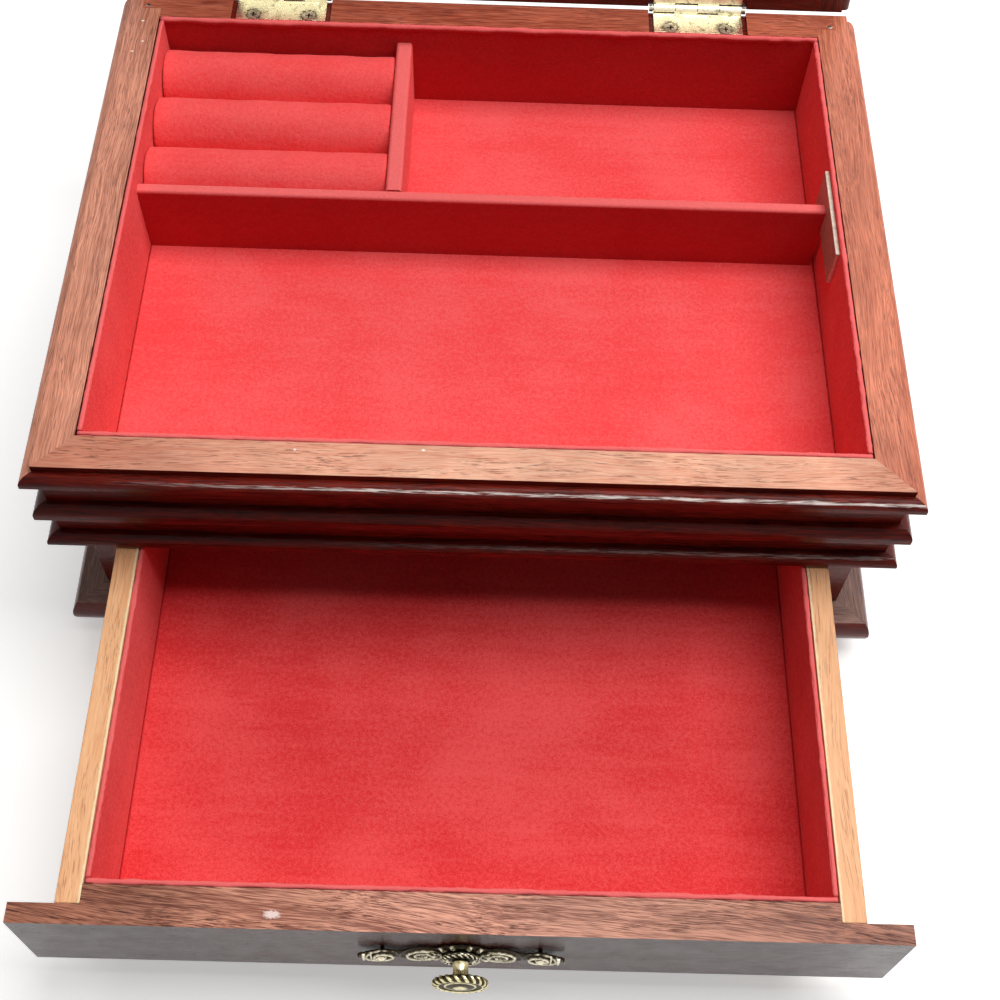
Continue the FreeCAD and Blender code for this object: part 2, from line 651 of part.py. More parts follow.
def hinge_leaf(name, centre, on_lid):
    """A leaf let into its rail, with every second knuckle and countersunk screw holes."""
    low, high = ("lid_gap", "lid_gap + leaf_thick") if on_lid else ("-leaf_thick", "0")
    start = f"({centre} - leaf_width / 2)"
    leaf = new_body(name)
    pad(leaf, "plate", "z", (low, high), rectangle(
        (start, f"{start} + leaf_width"), ("case_depth - leaf_reach", AXIS_Y)))
    first = 0 if on_lid else 1
    share = f"leaf_width / {KNUCKLES}"
    clear = (f"{AXIS_Y} - knuckle_radius - knuckle_room", f"{AXIS_Y} + cut_margin")
    through = (f"{low} - cut_margin", f"{high} + cut_margin")
    for count in range(1 - first, KNUCKLES, 2):
        across = (f"{start} + {share} * {count} - knuckle_gap / 2",
                  f"{start} + {share} * {count + 1} + knuckle_gap / 2")
        cut(leaf, f"notch{count}", "z", through, rectangle(across, clear))
    for count in range(first, KNUCKLES, 2):
        across = (f"{start} + {share} * {count} + knuckle_gap / 2",
                  f"{start} + {share} * {count + 1} - knuckle_gap / 2")
        pad(leaf, f"knuckle{count}", "x", across, (AXIS_Y, AXIS_Z, "knuckle_radius"))
    bore = "hinge_pin + running_gap" if on_lid else "hinge_pin"
    whole = (f"{start} - cut_margin", f"{start} + leaf_width + cut_margin")
    cut(leaf, "bore", "x", whole, (AXIS_Y, AXIS_Z, bore))
    radii = ("screw_head", "screw_shank") if on_lid else ("screw_shank", "screw_head")
    for side in ("-", "+"):
        place = (f"{centre} {side} screw_spacing / 2", "case_depth - screw_back", low)
        drill(leaf, "screw_hole", place, radii, "leaf_thick")
    keep(leaf, "lid" if on_lid else "case")


def hinge_pin(name, centre):
    start = f"({centre} - leaf_width / 2 - knuckle_gap / 2)"
    stop = f"({centre} + leaf_width / 2 + knuckle_gap / 2)"
    pin = new_body(name)
    pad(pin, "shank", "x", (start, stop), (AXIS_Y, AXIS_Z, "hinge_pin"))
    pad(pin, "left_end", "x", (f"{start} - pin_head_thick", start), (AXIS_Y, AXIS_Z, "pin_head"))
    pad(pin, "right_end", "x", (stop, f"{stop} + pin_head_thick"), (AXIS_Y, AXIS_Z, "pin_head"))
    keep(pin, "case")


for side, centre in HINGES:
    hinge_leaf(f"hinge_leaf_case_{side}", centre, on_lid=False)
    hinge_leaf(f"hinge_leaf_lid_{side}", centre, on_lid=True)
    hinge_pin(f"hinge_pin_{side}", centre)

screw = new_body("screw_template")
turned(screw, "screw", [
    ("0", "-screw_length"), ("screw_shank", "-screw_length"), ("screw_shank", "-leaf_thick"),
    ("screw_head", "0"), ("0", "0")])
slot = (sides("recess_length / 2"), sides("recess_width / 2"))
RECESS = ("-recess_depth", "cut_margin")
cut(screw, "recess_across", "z", RECESS, rectangle(*slot))
cut(screw, "recess_along", "z", RECESS, rectangle(*reversed(slot)))
doc.recompute()
for group, height, turn in (("case", "0", 0), ("lid", "lid_gap", 180)):
    keep(several(f"hinge_screws_{group}", screw, [
        Placement(Vector(*(size(text) for text in place)), Rotation(Vector(1, 0, 0), turn))
        for place in screw_places(height)
    ]), group)

# Drawer, as it stands when it is shut ------------------------------------------------------------

DRAWER_TOP = f"({CASE_LOW} - front_gap)"
DRAWER_LOW = f"({PLINTH_TOP} + drawer_lift)"
DRAWER_FLOOR = f"({DRAWER_TOP} - drawer_depth)"
PLY_TOP = f"({DRAWER_FLOOR} - lining_thick)"
PLY_LOW = f"({PLY_TOP} - drawer_board)"
LIP_BACK = "(panel_setback - shut_gap)"
FACE = f"({LIP_BACK} - lip_thick)"
FRONT_BACK = f"({FACE} + front_thick)"
SIDE_OUT = f"({PANEL_IN} - drawer_play)"
SIDE_IN = f"({SIDE_OUT} - side_thick)"
DRAWER_END = f"({BAY_BACK} - drawer_back_gap)"
DRAWER_REAR = f"({DRAWER_END} - side_thick)"
FRONT_HALF = f"({PANEL_OUT} + lip_cover)"
PULL_Z = f"({DRAWER_TOP} - pull_drop)"
PLATE_FACE = f"({FACE} - backplate_thick)"
BOSS_FACE = f"({PLATE_FACE} - boss_height)"
TACKS = [f"{sign}tack_spacing / 2" for sign in ("-", "")]

front = new_body("drawer_front")
pad(front, "board", "z", (DRAWER_LOW, DRAWER_TOP), [
    (f"-{FRONT_HALF}", FACE), (FRONT_HALF, FACE), (FRONT_HALF, LIP_BACK), (SIDE_IN, LIP_BACK),
    (SIDE_IN, FRONT_BACK), (f"-{SIDE_IN}", FRONT_BACK), (f"-{SIDE_IN}", LIP_BACK),
    (f"-{FRONT_HALF}", LIP_BACK)])
cut(front, "groove", "x", sides(SIDE_IN), rectangle(
    (f"{FRONT_BACK} - drawer_groove", f"{FRONT_BACK} + cut_margin"), (PLY_LOW, PLY_TOP)))
cut(front, "screw_hole", "y", (f"{FACE} - cut_margin", FRONT_BACK), ("0", PULL_Z, "knob_screw_radius"))
cut(front, "screw_seat", "y", (f"{FRONT_BACK} - knob_screw_sink", f"{FRONT_BACK} + cut_margin"),
    ("0", PULL_Z, "knob_screw_head"))
for count, across in enumerate(TACKS, 1):
    cut(front, f"tack_hole{count}", "y", (f"{FACE} - cut_margin", f"{FACE} + tack_length"),
        (across, PULL_Z, "tack_radius"))
keep(front, "drawer")

for side, sign in (("left", "-"), ("right", "")):
    body = new_body(f"drawer_side_{side}")
    grooved = f"{sign}({SIDE_IN} + drawer_groove)"
    outer, inner = f"{sign}{SIDE_OUT}", f"{sign}{SIDE_IN}"
    pad(body, "board", "y", (LIP_BACK, DRAWER_END), [
        (outer, DRAWER_LOW), (outer, DRAWER_TOP), (inner, DRAWER_TOP), (inner, PLY_TOP), (grooved, PLY_TOP),
        (grooved, PLY_LOW), (inner, PLY_LOW), (inner, DRAWER_LOW)])
    keep(body, "drawer")
keep(board("drawer_back", sides(SIDE_IN), (DRAWER_REAR, DRAWER_END), (PLY_TOP, DRAWER_TOP)), "drawer")
keep(board("drawer_bottom", sides(f"{SIDE_IN} + drawer_groove"),
           (f"{FRONT_BACK} - drawer_groove", DRAWER_END), (PLY_LOW, PLY_TOP)), "drawer")
keep(board("drawer_lining", sides(SIDE_IN), (FRONT_BACK, DRAWER_REAR), (PLY_TOP, DRAWER_FLOOR)), "drawer")

BOX_OUT = f"({SIDE_IN} - liner_gap)"
BOX_IN = f"({BOX_OUT} - drawer_liner)"
BOX_FRONT = f"({FRONT_BACK} + liner_gap)"
BOX_BACK = f"({DRAWER_REAR} - liner_gap)"
BOX_Z = (DRAWER_FLOOR, f"{DRAWER_TOP} - drawer_liner_drop")
BETWEEN = (f"{BOX_FRONT} + drawer_liner", f"{BOX_BACK} - drawer_liner")
keep(board("drawer_liner_front", sides(BOX_OUT), (BOX_FRONT, BETWEEN[0]), BOX_Z), "drawer")
keep(board("drawer_liner_back", sides(BOX_OUT), (BETWEEN[1], BOX_BACK), BOX_Z), "drawer")
keep(board("drawer_liner_left", (f"-{BOX_OUT}", f"-{BOX_IN}"), BETWEEN, BOX_Z), "drawer")
keep(board("drawer_liner_right", (BOX_IN, BOX_OUT), BETWEEN, BOX_Z), "drawer")

# Pull --------------------------------------------------------------------------------------------

plate = new_body("pull_backplate")
thickness = (PLATE_FACE, FACE)
pad(plate, "centre", "y", thickness, ("0", PULL_Z, "plate_centre"))
pad(plate, "bar", "y", thickness, rectangle(
    sides("plate_half - plate_tip"), (f"{PULL_Z} - plate_waist", f"{PULL_Z} + plate_waist")))
for sign in ("-", ""):
    pad(plate, "shoulder", "y", thickness, (f"{sign}plate_shoulder_offset", PULL_Z, "plate_shoulder"))
    pad(plate, "lobe", "y", thickness, (f"{sign}tack_spacing / 2", PULL_Z, "plate_lobe"))
    pad(plate, "tip", "y", thickness, (f"{sign}(plate_half - plate_tip)", PULL_Z, "plate_tip"))
pad(plate, "boss", "y", (BOSS_FACE, FACE), ("0", PULL_Z, "boss_radius"))
cut(plate, "screw_hole", "y", (f"{BOSS_FACE} - cut_margin", f"{FACE} + cut_margin"),
    ("0", PULL_Z, "knob_screw_radius"))
for count, across in enumerate(TACKS, 1):
    cut(plate, f"tack_hole{count}", "y", (f"{PLATE_FACE} - cut_margin", f"{FACE} + cut_margin"),
        (across, PULL_Z, "tack_radius"))
keep(plate, "drawer")

knob = new_body("pull_knob")
edge = "knob_thick / 2"
core = f"knob_radius - {edge}"
turned(knob, "knob", [
    ("0", "0"), ("neck_radius", "0"), ("neck_radius", "neck_length - knob_flare"),
    ("neck_radius + knob_flare", "neck_length"),
    (core, "neck_length", (core, f"neck_length + {edge}"), edge),
    ("knob_radius", f"neck_length + {edge}", (core, f"neck_length + {edge}"), edge),
    (core, "neck_length + knob_thick"), ("0", "neck_length + knob_thick")])
flute = cut(knob, "flute", "z", ("neck_length - cut_margin", "neck_length + knob_thick + cut_margin"),
            ("knob_radius", "0", "flute_radius"))
flutes = knob.newObject("PartDesign::PolarPattern", "flutes")
flutes.Originals = [flute]
flutes.Axis = (flute.Profile[0], ["N_Axis"])
flutes.Angle = 360
flutes.setExpression("Occurrences", tied("flute_count"))
knob.Tip = flutes
drill(knob, "screw_hole", ("0", "0", "0"), ("knob_screw_radius", "knob_screw_radius"), "knob_screw_grip")
knob.Placement = Placement(Vector(0, size(BOSS_FACE), size(PULL_Z)), Rotation(Vector(1, 0, 0), 90))
keep(knob, "drawer")

screw = new_body("pull_screw")
through = "front_thick + backplate_thick + boss_height + knob_screw_grip"
turned(screw, "screw", [
    ("0", "0"), ("knob_screw_head", "0"), ("knob_screw_head", "knob_screw_sink"),
    ("knob_screw_radius", "knob_screw_sink"), ("knob_screw_radius", through), ("0", through)])
screw.Placement = Placement(Vector(0, size(FRONT_BACK), size(PULL_Z)), Rotation(Vector(1, 0, 0), 90))
keep(screw, "drawer")

tack = new_body("tack_template")
into = "backplate_thick + tack_length"
turned(tack, "tack", [
    ("0", "-tack_head_thick"), ("tack_radius", "-tack_head_thick"), ("tack_head", "0"), ("tack_radius", "0"),
    ("tack_radius", into), ("0", into)])
doc.recompute()
keep(several("pull_tacks", tack, [
    Placement(Vector(size(across), size(PLATE_FACE), size(PULL_Z)), Rotation(Vector(1, 0, 0), -90))
    for across in TACKS
]), "drawer")

# Lid, as it lies when it is shut -----------------------------------------------------------------

LID_INSIDE = f"({HALF} - lid_inset - wall_thick)"
LID_FRONT = "(lid_inset + wall_thick)"
LID_DEEP = "(lid_gap + lid_recess)"
LID_PANEL = (f"({LID_DEEP} + lid_lining)", f"({LID_DEEP} + lid_lining + lid_panel_thick)")
moulded_frame("lid", "lid", lid_profile(), LID_FRONT, "(lid_bead_out - lid_inset)", "lid_gap",
              "lid_gap + lid_height", "case_depth")
rail = new_body("lid_back")
in_groove = f"{TRAY_BACK} + groove_depth"
pad(rail, "rail", "x", sides(LID_INSIDE), [
    (TRAY_BACK, "lid_gap"), ("case_depth", "lid_gap"), ("case_depth", "lid_gap + lid_height"),
    (TRAY_BACK, "lid_gap + lid_height"), (TRAY_BACK, LID_PANEL[1]), (in_groove, LID_PANEL[1]),
    (in_groove, LID_PANEL[0]), (TRAY_BACK, LID_PANEL[0])])
for side, centre in HINGES:
    mortise(rail, ("lid_gap - cut_margin", "lid_gap + leaf_thick"), side, centre)
for count, place in enumerate(screw_places("lid_gap - cut_margin"), 1):
    drill(rail, f"screw_hole{count}", place, ("screw_shank", "screw_shank"), "screw_length + cut_margin")
keep(rail, "lid")
keep(board("lid_panel", sides(f"{LID_INSIDE} + groove_depth"),
           (f"{LID_FRONT} - groove_depth", f"{TRAY_BACK} + groove_depth"), LID_PANEL), "lid")
keep(board("lid_lining", sides(LID_INSIDE), (LID_FRONT, TRAY_BACK), (LID_DEEP, LID_PANEL[0])), "lid")

# Places: the drawer comes forward and the lid turns up; then the floor is Z = 0 and the whole box,
# from the pull to the lid, is centred on Y = 0 ----------------------------------------------------

hinge = Vector(0, size(AXIS_Y), size(AXIS_Z))
swing = Placement(Vector(), Rotation(Vector(1, 0, 0), -size("lid_angle")), hinge)
moves = {
    "case": Placement(),
    "drawer": Placement(Vector(0, -size("drawer_out"), 0), Rotation()),
    "lid": swing,
}
doc.recompute()
for thing, group in nodes:
    thing.Placement = moves[group].multiply(thing.Placement)
doc.recompute()
extent = FreeCAD.BoundBox()
for thing, _ in nodes:
    extent.add(thing.Shape.optimalBoundingBox())
origin = Placement(Vector(0, -(extent.YMin + extent.YMax) / 2, -extent.ZMin), Rotation())
for thing, _ in nodes:
    thing.Placement = origin.multiply(thing.Placement)
doc.recompute()

# Checks and files --------------------------------------------------------------------------------

faults = [thing.Name for thing in doc.Objects if {"Invalid", "Error"} & set(thing.State)]
for thing, _ in nodes:
    if thing.Shape.isNull() or not thing.Shape.isValid():
        faults.append(f"{thing.Label} has no valid shape")
if faults:
    raise RuntimeError("; ".join(faults))
os.makedirs("parts", exist_ok=True)
for thing, _ in nodes:
    thing.Shape.exportStep(f"parts/{thing.Label}.step")
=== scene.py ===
import math

import bpy
import numpy as np
from mathutils import Matrix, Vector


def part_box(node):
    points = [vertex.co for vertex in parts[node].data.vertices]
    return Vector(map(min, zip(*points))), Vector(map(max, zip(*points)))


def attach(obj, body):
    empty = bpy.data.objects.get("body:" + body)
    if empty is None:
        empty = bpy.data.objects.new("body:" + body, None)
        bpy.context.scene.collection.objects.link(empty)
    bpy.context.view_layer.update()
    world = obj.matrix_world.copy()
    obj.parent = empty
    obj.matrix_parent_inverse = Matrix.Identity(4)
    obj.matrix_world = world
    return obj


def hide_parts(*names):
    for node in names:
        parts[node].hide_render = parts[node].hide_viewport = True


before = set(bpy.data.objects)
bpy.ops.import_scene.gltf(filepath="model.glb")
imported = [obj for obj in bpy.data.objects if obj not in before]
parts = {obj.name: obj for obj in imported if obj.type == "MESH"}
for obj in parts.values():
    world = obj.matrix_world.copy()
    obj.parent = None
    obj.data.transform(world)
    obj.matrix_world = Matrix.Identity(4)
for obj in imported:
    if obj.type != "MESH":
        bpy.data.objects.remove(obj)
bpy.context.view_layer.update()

# --- Camera -------------------------------------------------------------------------------------
# The box is looked down into from above its drawer, nearly square on and turned very slightly.

EYE = (0.002791, -0.303093, 0.484077)
YAW, PITCH, ROLL = (math.radians(angle) for angle in (1.247, 58.912, -2.715))
FOCAL_LENGTH, SENSOR = 52.61, 36.0

ahead = np.array((math.sin(YAW) * math.cos(PITCH), math.cos(YAW) * math.cos(PITCH), -math.sin(PITCH)))
level = np.array((math.cos(YAW), -math.sin(YAW), 0.0))
below = np.cross(ahead, level)
across = math.cos(ROLL) * level + math.sin(ROLL) * below
below = math.cos(ROLL) * below - math.sin(ROLL) * level

lens = bpy.data.cameras.new("camera")
lens.lens = FOCAL_LENGTH
lens.sensor_width = SENSOR
lens.clip_start = 0.01
camera = bpy.data.objects.new("camera", lens)
stand = np.eye(4)
stand[:3, 0], stand[:3, 1], stand[:3, 2], stand[:3, 3] = across, -below, -ahead, EYE
camera.matrix_world = Matrix(stand.tolist())
bpy.context.scene.collection.objects.link(camera)
bpy.context.scene.camera = camera
bpy.context.scene.view_settings.view_transform = "Standard"

# --- Table and light ----------------------------------------------------------------------------
# A plain white table in a pale room. One wide soft lamp hangs over the box and to its right, and a
# second one behind it sends light over the open lid, which shades the back of the tray from it.

ROOM_LIGHT = 0.11
LAMPS = (
    ("lamp_over", (0.45, 0.11, 1.32), 1.3, 0.74, 17.5),
    ("lamp_behind", (0.10, 1.12, 1.18), 1.6, 0.8, 8.0),
)
AIM = (0.0, 0.0, 0.08)
HALF_TABLE = 2.4
TABLE_GLOW = 0.42


def node(tree, kind, inputs=None, **settings):
    """Adds a shader node. Each input gets a plain value, or a link if it is given a socket."""
    made = tree.nodes.new(kind)
    for name, value in settings.items():
        setattr(made, name, value)
    for name, value in (inputs or {}).items():
        if isinstance(value, bpy.types.NodeSocket):
            tree.links.new(value, made.inputs[name])
        else:
            made.inputs[name].default_value = value
    return made


def seen_directly(tree):
    """1 for rays that come from the camera, a mirror or glass, and 0 for the light on the part."""
    path = node(tree, "ShaderNodeLightPath")
    seen = node(tree, "ShaderNodeMath", {0: path.outputs["Is Camera Ray"], 1: path.outputs["Is Glossy Ray"]},
                operation="MAXIMUM")
    return node(tree, "ShaderNodeMath", {0: seen.outputs[0], 1: path.outputs["Is Transmission Ray"]},
                operation="MAXIMUM").outputs[0]


world = bpy.data.worlds.new("room")
world.use_nodes = True
world.node_tree.nodes.clear()
dim = node(world.node_tree, "ShaderNodeBackground", {"Color": (1, 0.985, 0.96, 1), "Strength": ROOM_LIGHT})
bright = node(world.node_tree, "ShaderNodeBackground", {"Color": (0.93, 0.93, 0.93, 1), "Strength": 1.0})
both = node(world.node_tree, "ShaderNodeMixShader", {
    0: seen_directly(world.node_tree), 1: dim.outputs[0], 2: bright.outputs[0]})
node(world.node_tree, "ShaderNodeOutputWorld", {"Surface": both.outputs[0]})
bpy.context.scene.world = world

for name, place, wide, deep, watts in LAMPS:
    lamp = bpy.data.lights.new(name, "AREA")
    lamp.shape = "RECTANGLE"
    lamp.size, lamp.size_y, lamp.energy = wide, deep, watts
    lamp_object = bpy.data.objects.new(name, lamp)
    towards = np.array(AIM) - np.array(place)
    towards /= np.linalg.norm(towards)
    side = np.array((1.0, 0.0, 0.0)) - towards[0] * towards
    side /= np.linalg.norm(side)
    hang = np.eye(4)
    hang[:3, 0], hang[:3, 1], hang[:3, 2], hang[:3, 3] = side, np.cross(side, towards), -towards, place
    lamp_object.matrix_world = Matrix(hang.tolist())
    bpy.context.scene.collection.objects.link(lamp_object)

table = bpy.data.meshes.new("table")
corners = np.array(((-1, -1, 0), (1, -1, 0), (1, 1, 0), (-1, 1, 0))) * HALF_TABLE
table.from_pydata(corners.tolist(), [], [(0, 1, 2, 3)])
table_object = bpy.data.objects.new("table", table)
bpy.context.scene.collection.objects.link(table_object)
white = bpy.data.materials.new("white table")
white.use_nodes = True
shade = white.node_tree.nodes["Principled BSDF"]
shade.inputs["Base Color"].default_value = (0.86, 0.86, 0.85, 1)
shade.inputs["Roughness"].default_value = 0.6
shade.inputs["Emission Color"].default_value = (1, 1, 1, 1)
glow = node(white.node_tree, "ShaderNodeMath", {0: seen_directly(white.node_tree), 1: TABLE_GLOW},
            operation="MULTIPLY")
white.node_tree.links.new(glow.outputs[0], shade.inputs["Emission Strength"])
table.materials.append(white)

# --- Case: moulded mahogany boards --------------------------------------------------------------
# The front and the sides are thick boards with three beads run along them, mitred at the front
# corners; the plain back is lapped between the sides and nailed. Dark gloss lacquer covers them, and
# handling has worn it to pink-brown wood on the flat top edges.

LACQUER = ((0.210, 0.0150, 0.0066, 1), (0.055, 0.0046, 0.0028, 1))
BARE = ((0.88, 0.46, 0.315, 1), (0.46, 0.175, 0.100, 1))
PORE = (0.13, 0.034, 0.020, 1)
# The colour of the painted highlight streaks along the bead crests.
CREST_HIGHLIGHT_COLOUR = (0.98, 0.86, 0.80, 1)
CREAM = (0.95, 0.88, 0.76, 1)
TOP = 0.1031
EDGE = 0.00022


def new_group(name, inputs, outputs):
    """A shader node group with named sockets: (name, kind, value) for each input."""
    tree = bpy.data.node_groups.new(name, "ShaderNodeTree")
    for label, kind, value in inputs:
        socket = tree.interface.new_socket(label, in_out="INPUT", socket_type=f"NodeSocket{kind}")
        if value is not None:
            socket.default_value = value
    for label, kind in outputs:
        tree.interface.new_socket(label, in_out="OUTPUT", socket_type=f"NodeSocket{kind}")
    return tree, tree.nodes.new("NodeGroupInput"), tree.nodes.new("NodeGroupOutput")


def stretched(tree, point, along, around):
    """The point, scaled by `along` on X and by `around` on Y and Z."""
    return node(tree, "ShaderNodeVectorMath", {0: point, 1: (along, around, around)},
                operation="MULTIPLY").outputs[0]


def noise(tree, point, scale=1.0, detail=3.0, rough=0.55):
    """Cloudy noise round 0.5, with `scale` clouds to the metre."""
    return node(tree, "ShaderNodeTexNoise", {
        "Vector": point, "Scale": scale, "Detail": detail, "Roughness": rough}).outputs["Fac"]


def between(tree, value, low, high, start=0.0, stop=1.0):
    """Carries low..high over to start..stop, and holds it at the ends."""
    return node(tree, "ShaderNodeMapRange", {
        "Value": value, "From Min": low, "From Max": high, "To Min": start, "To Max": stop}).outputs[0]


def mixed(tree, share, first, second, kind="RGBA", blend="MIX"):
    """The first colour or number where the share is 0, and the second laid over it where it is 1."""
    names = {"RGBA": (6, 7, 2), "FLOAT": (2, 3, 0)}[kind]
    made = node(tree, "ShaderNodeMix", {0: share, names[0]: first, names[1]: second}, data_type=kind)
    if kind == "RGBA":
        made.blend_type = blend
    return made.outputs[names[2]]


def sums(tree, operation, *values):
    """One Math node."""
    return node(tree, "ShaderNodeMath", dict(enumerate(values)), operation=operation).outputs[0]


# Wood: short fibres, narrow dark pores as dashes along the grain, and slow wandering changes of tone
# across a board. The point comes in with the grain along X, in metres.
wood, wood_in, wood_out = new_group("wood grain", (
    ("Point", "Vector", None), ("Pale", "Color", BARE[0]), ("Deep", "Color", BARE[1]),
    ("Pore", "Color", PORE), ("Pores", "Float", 0.7), ("Figure", "Float", 1.0)),
    (("Color", "Color"), ("Height", "Float")))
point = wood_in.outputs["Point"]
drift = node(wood, "ShaderNodeTexNoise", {
    "Vector": stretched(wood, point, 9.0, 26.0), "Scale": 1.0, "Detail": 1.5}).outputs["Color"]
drift = node(wood, "ShaderNodeVectorMath", {0: drift, 1: (0.0, 0.012, 0.012)}, operation="MULTIPLY")
wandering = node(wood, "ShaderNodeVectorMath", {0: point, 1: drift.outputs[0]}, operation="ADD").outputs[0]
fibres = noise(wood, stretched(wood, wandering, 80.0, 2000.0), detail=2.0, rough=0.5)
streaks = noise(wood, stretched(wood, wandering, 16.0, 800.0), detail=3.0, rough=0.6)
broad = noise(wood, stretched(wood, wandering, 10.0, 95.0), detail=2.0)
figure = sums(wood, "ADD", sums(wood, "MULTIPLY", fibres, 0.46), sums(wood, "MULTIPLY", streaks, 0.32))
figure = sums(wood, "ADD", figure, sums(wood, "MULTIPLY", broad, 0.22))
figure = sums(wood, "MULTIPLY_ADD", sums(wood, "SUBTRACT", figure, 0.5), wood_in.outputs["Figure"], 0.5)
figure = between(wood, figure, 0.37, 0.63)
dashes = noise(wood, stretched(wood, wandering, 110.0, 2100.0), detail=2.0, rough=0.6)
dashes = between(wood, dashes, 0.54, 0.62)
clusters = between(wood, noise(wood, stretched(wood, wandering, 22.0, 240.0), detail=2.0), 0.36, 0.58)
dashes = sums(wood, "MULTIPLY", sums(wood, "MULTIPLY", dashes, clusters), wood_in.outputs["Pores"])
body = mixed(wood, figure, wood_in.outputs["Deep"], wood_in.outputs["Pale"])
wood.links.new(mixed(wood, dashes, body, wood_in.outputs["Pore"]), wood_out.inputs["Color"])
wood.links.new(sums(wood, "SUBTRACT", sums(wood, "MULTIPLY", figure, 0.4), dashes), wood_out.inputs["Height"])

# Handling: how far the surface is rubbed through. It is whole on faces that point along Up above a
# level, and patchy on the edges beside them.
rubbed, rubbed_in, rubbed_out = new_group("rubbed", (
    ("Point", "Vector", None), ("Normal", "Vector", None), ("Up", "Vector", (0.0, 0.0, 1.0)),
    ("Level", "Float", 0.0), ("Edge", "Float", 0.6), ("Round", "Float", 0.90)), (("Worn", "Float"),))
facing = node(rubbed, "ShaderNodeVectorMath", {0: rubbed_in.outputs["Normal"], 1: rubbed_in.outputs["Up"]},
              operation="DOT_PRODUCT").outputs["Value"]
height = node(rubbed, "ShaderNodeVectorMath", {0: rubbed_in.outputs["Point"], 1: rubbed_in.outputs["Up"]},
              operation="DOT_PRODUCT").outputs["Value"]
above = between(rubbed, sums(rubbed, "SUBTRACT", height, rubbed_in.outputs["Level"]), -0.0006, -0.0002)
patches = noise(rubbed, rubbed_in.outputs["Point"], 180.0, 4.0, 0.65)
flat = node(rubbed, "ShaderNodeMapRange", {"Value": facing, "From Min": rubbed_in.outputs["Round"],
                                           "From Max": sums(rubbed, "ADD", rubbed_in.outputs["Round"], 0.08)})
turned = sums(rubbed, "MULTIPLY", between(rubbed, facing, 0.25, 0.8), between(rubbed, patches, 0.42, 0.6))
turned = sums(rubbed, "MULTIPLY", turned, rubbed_in.outputs["Edge"])
worn = sums(rubbed, "MULTIPLY", sums(rubbed, "MAXIMUM", flat.outputs[0], turned), above)
rubbed.links.new(worn, rubbed_out.inputs["Worn"])


def placed(tree, turn=(0.0, 0.0, 0.0), log=0.0, fine=1.0):
    """Object coordinates, turned so that the grain runs along X, shifted so that each numbered log has
    its own grain, and scaled for finer grain."""
    coordinates = node(tree, "ShaderNodeTexCoord")
    turned = node(tree, "ShaderNodeMapping", {
        "Vector": coordinates.outputs["Object"], "Rotation": turn,
        "Location": (log * 0.37, log * 0.21, log * 0.13), "Scale": (fine, fine, fine)})
    return coordinates, turned.outputs[0]


def painted_crest_highlight(tree, coordinates, point, colour, height, start, strength):
    """Painted highlight: pale streaks in a narrow band round a bead's height. They begin
    at a place across the box and grow to their full strength."""
    place = node(tree, "ShaderNodeSeparateXYZ", {0: coordinates.outputs["Object"]})
    upward = node(tree, "ShaderNodeSeparateXYZ", {0: coordinates.outputs["Normal"]}).outputs["Z"]
    ragged = sums(tree, "SUBTRACT", noise(tree, stretched(tree, point, 110.0, 900.0)), 0.5)
    away = sums(tree, "SUBTRACT", place.outputs["Z"], height)
    away = sums(tree, "ABSOLUTE", sums(tree, "MULTIPLY_ADD", ragged, 0.0008, away))
    share = sums(tree, "MULTIPLY", between(tree, upward, 0.5, 0.6), between(tree, away, 0.0004, 0.0002))
    grown = between(tree, place.outputs["X"], start, start + 0.09, 0.0, strength)
    streaks = between(tree, noise(tree, stretched(tree, point, 90.0, 1800.0)), 0.38, 0.56)
    return mixed(tree, sums(tree, "MULTIPLY", sums(tree, "MULTIPLY", share, grown), streaks), colour, CREST_HIGHLIGHT_COLOUR)


def spotted(tree, coordinates, colour, middle, reach, spot):
    """A ragged spot of another colour: an oval of a given reach on each axis, bitten by noise."""
    point = coordinates.outputs["Object"]
    away = node(tree, "ShaderNodeVectorMath", {0: point, 1: middle}, operation="SUBTRACT").outputs[0]
    away = node(tree, "ShaderNodeVectorMath", {0: away, 1: reach}, operation="DIVIDE").outputs[0]
    away = node(tree, "ShaderNodeVectorMath", {0: away}, operation="LENGTH").outputs["Value"]
    away = sums(tree, "MULTIPLY_ADD", noise(tree, point, 1400.0), 1.1, away)
    return mixed(tree, between(tree, away, 1.35, 1.0), colour, spot)


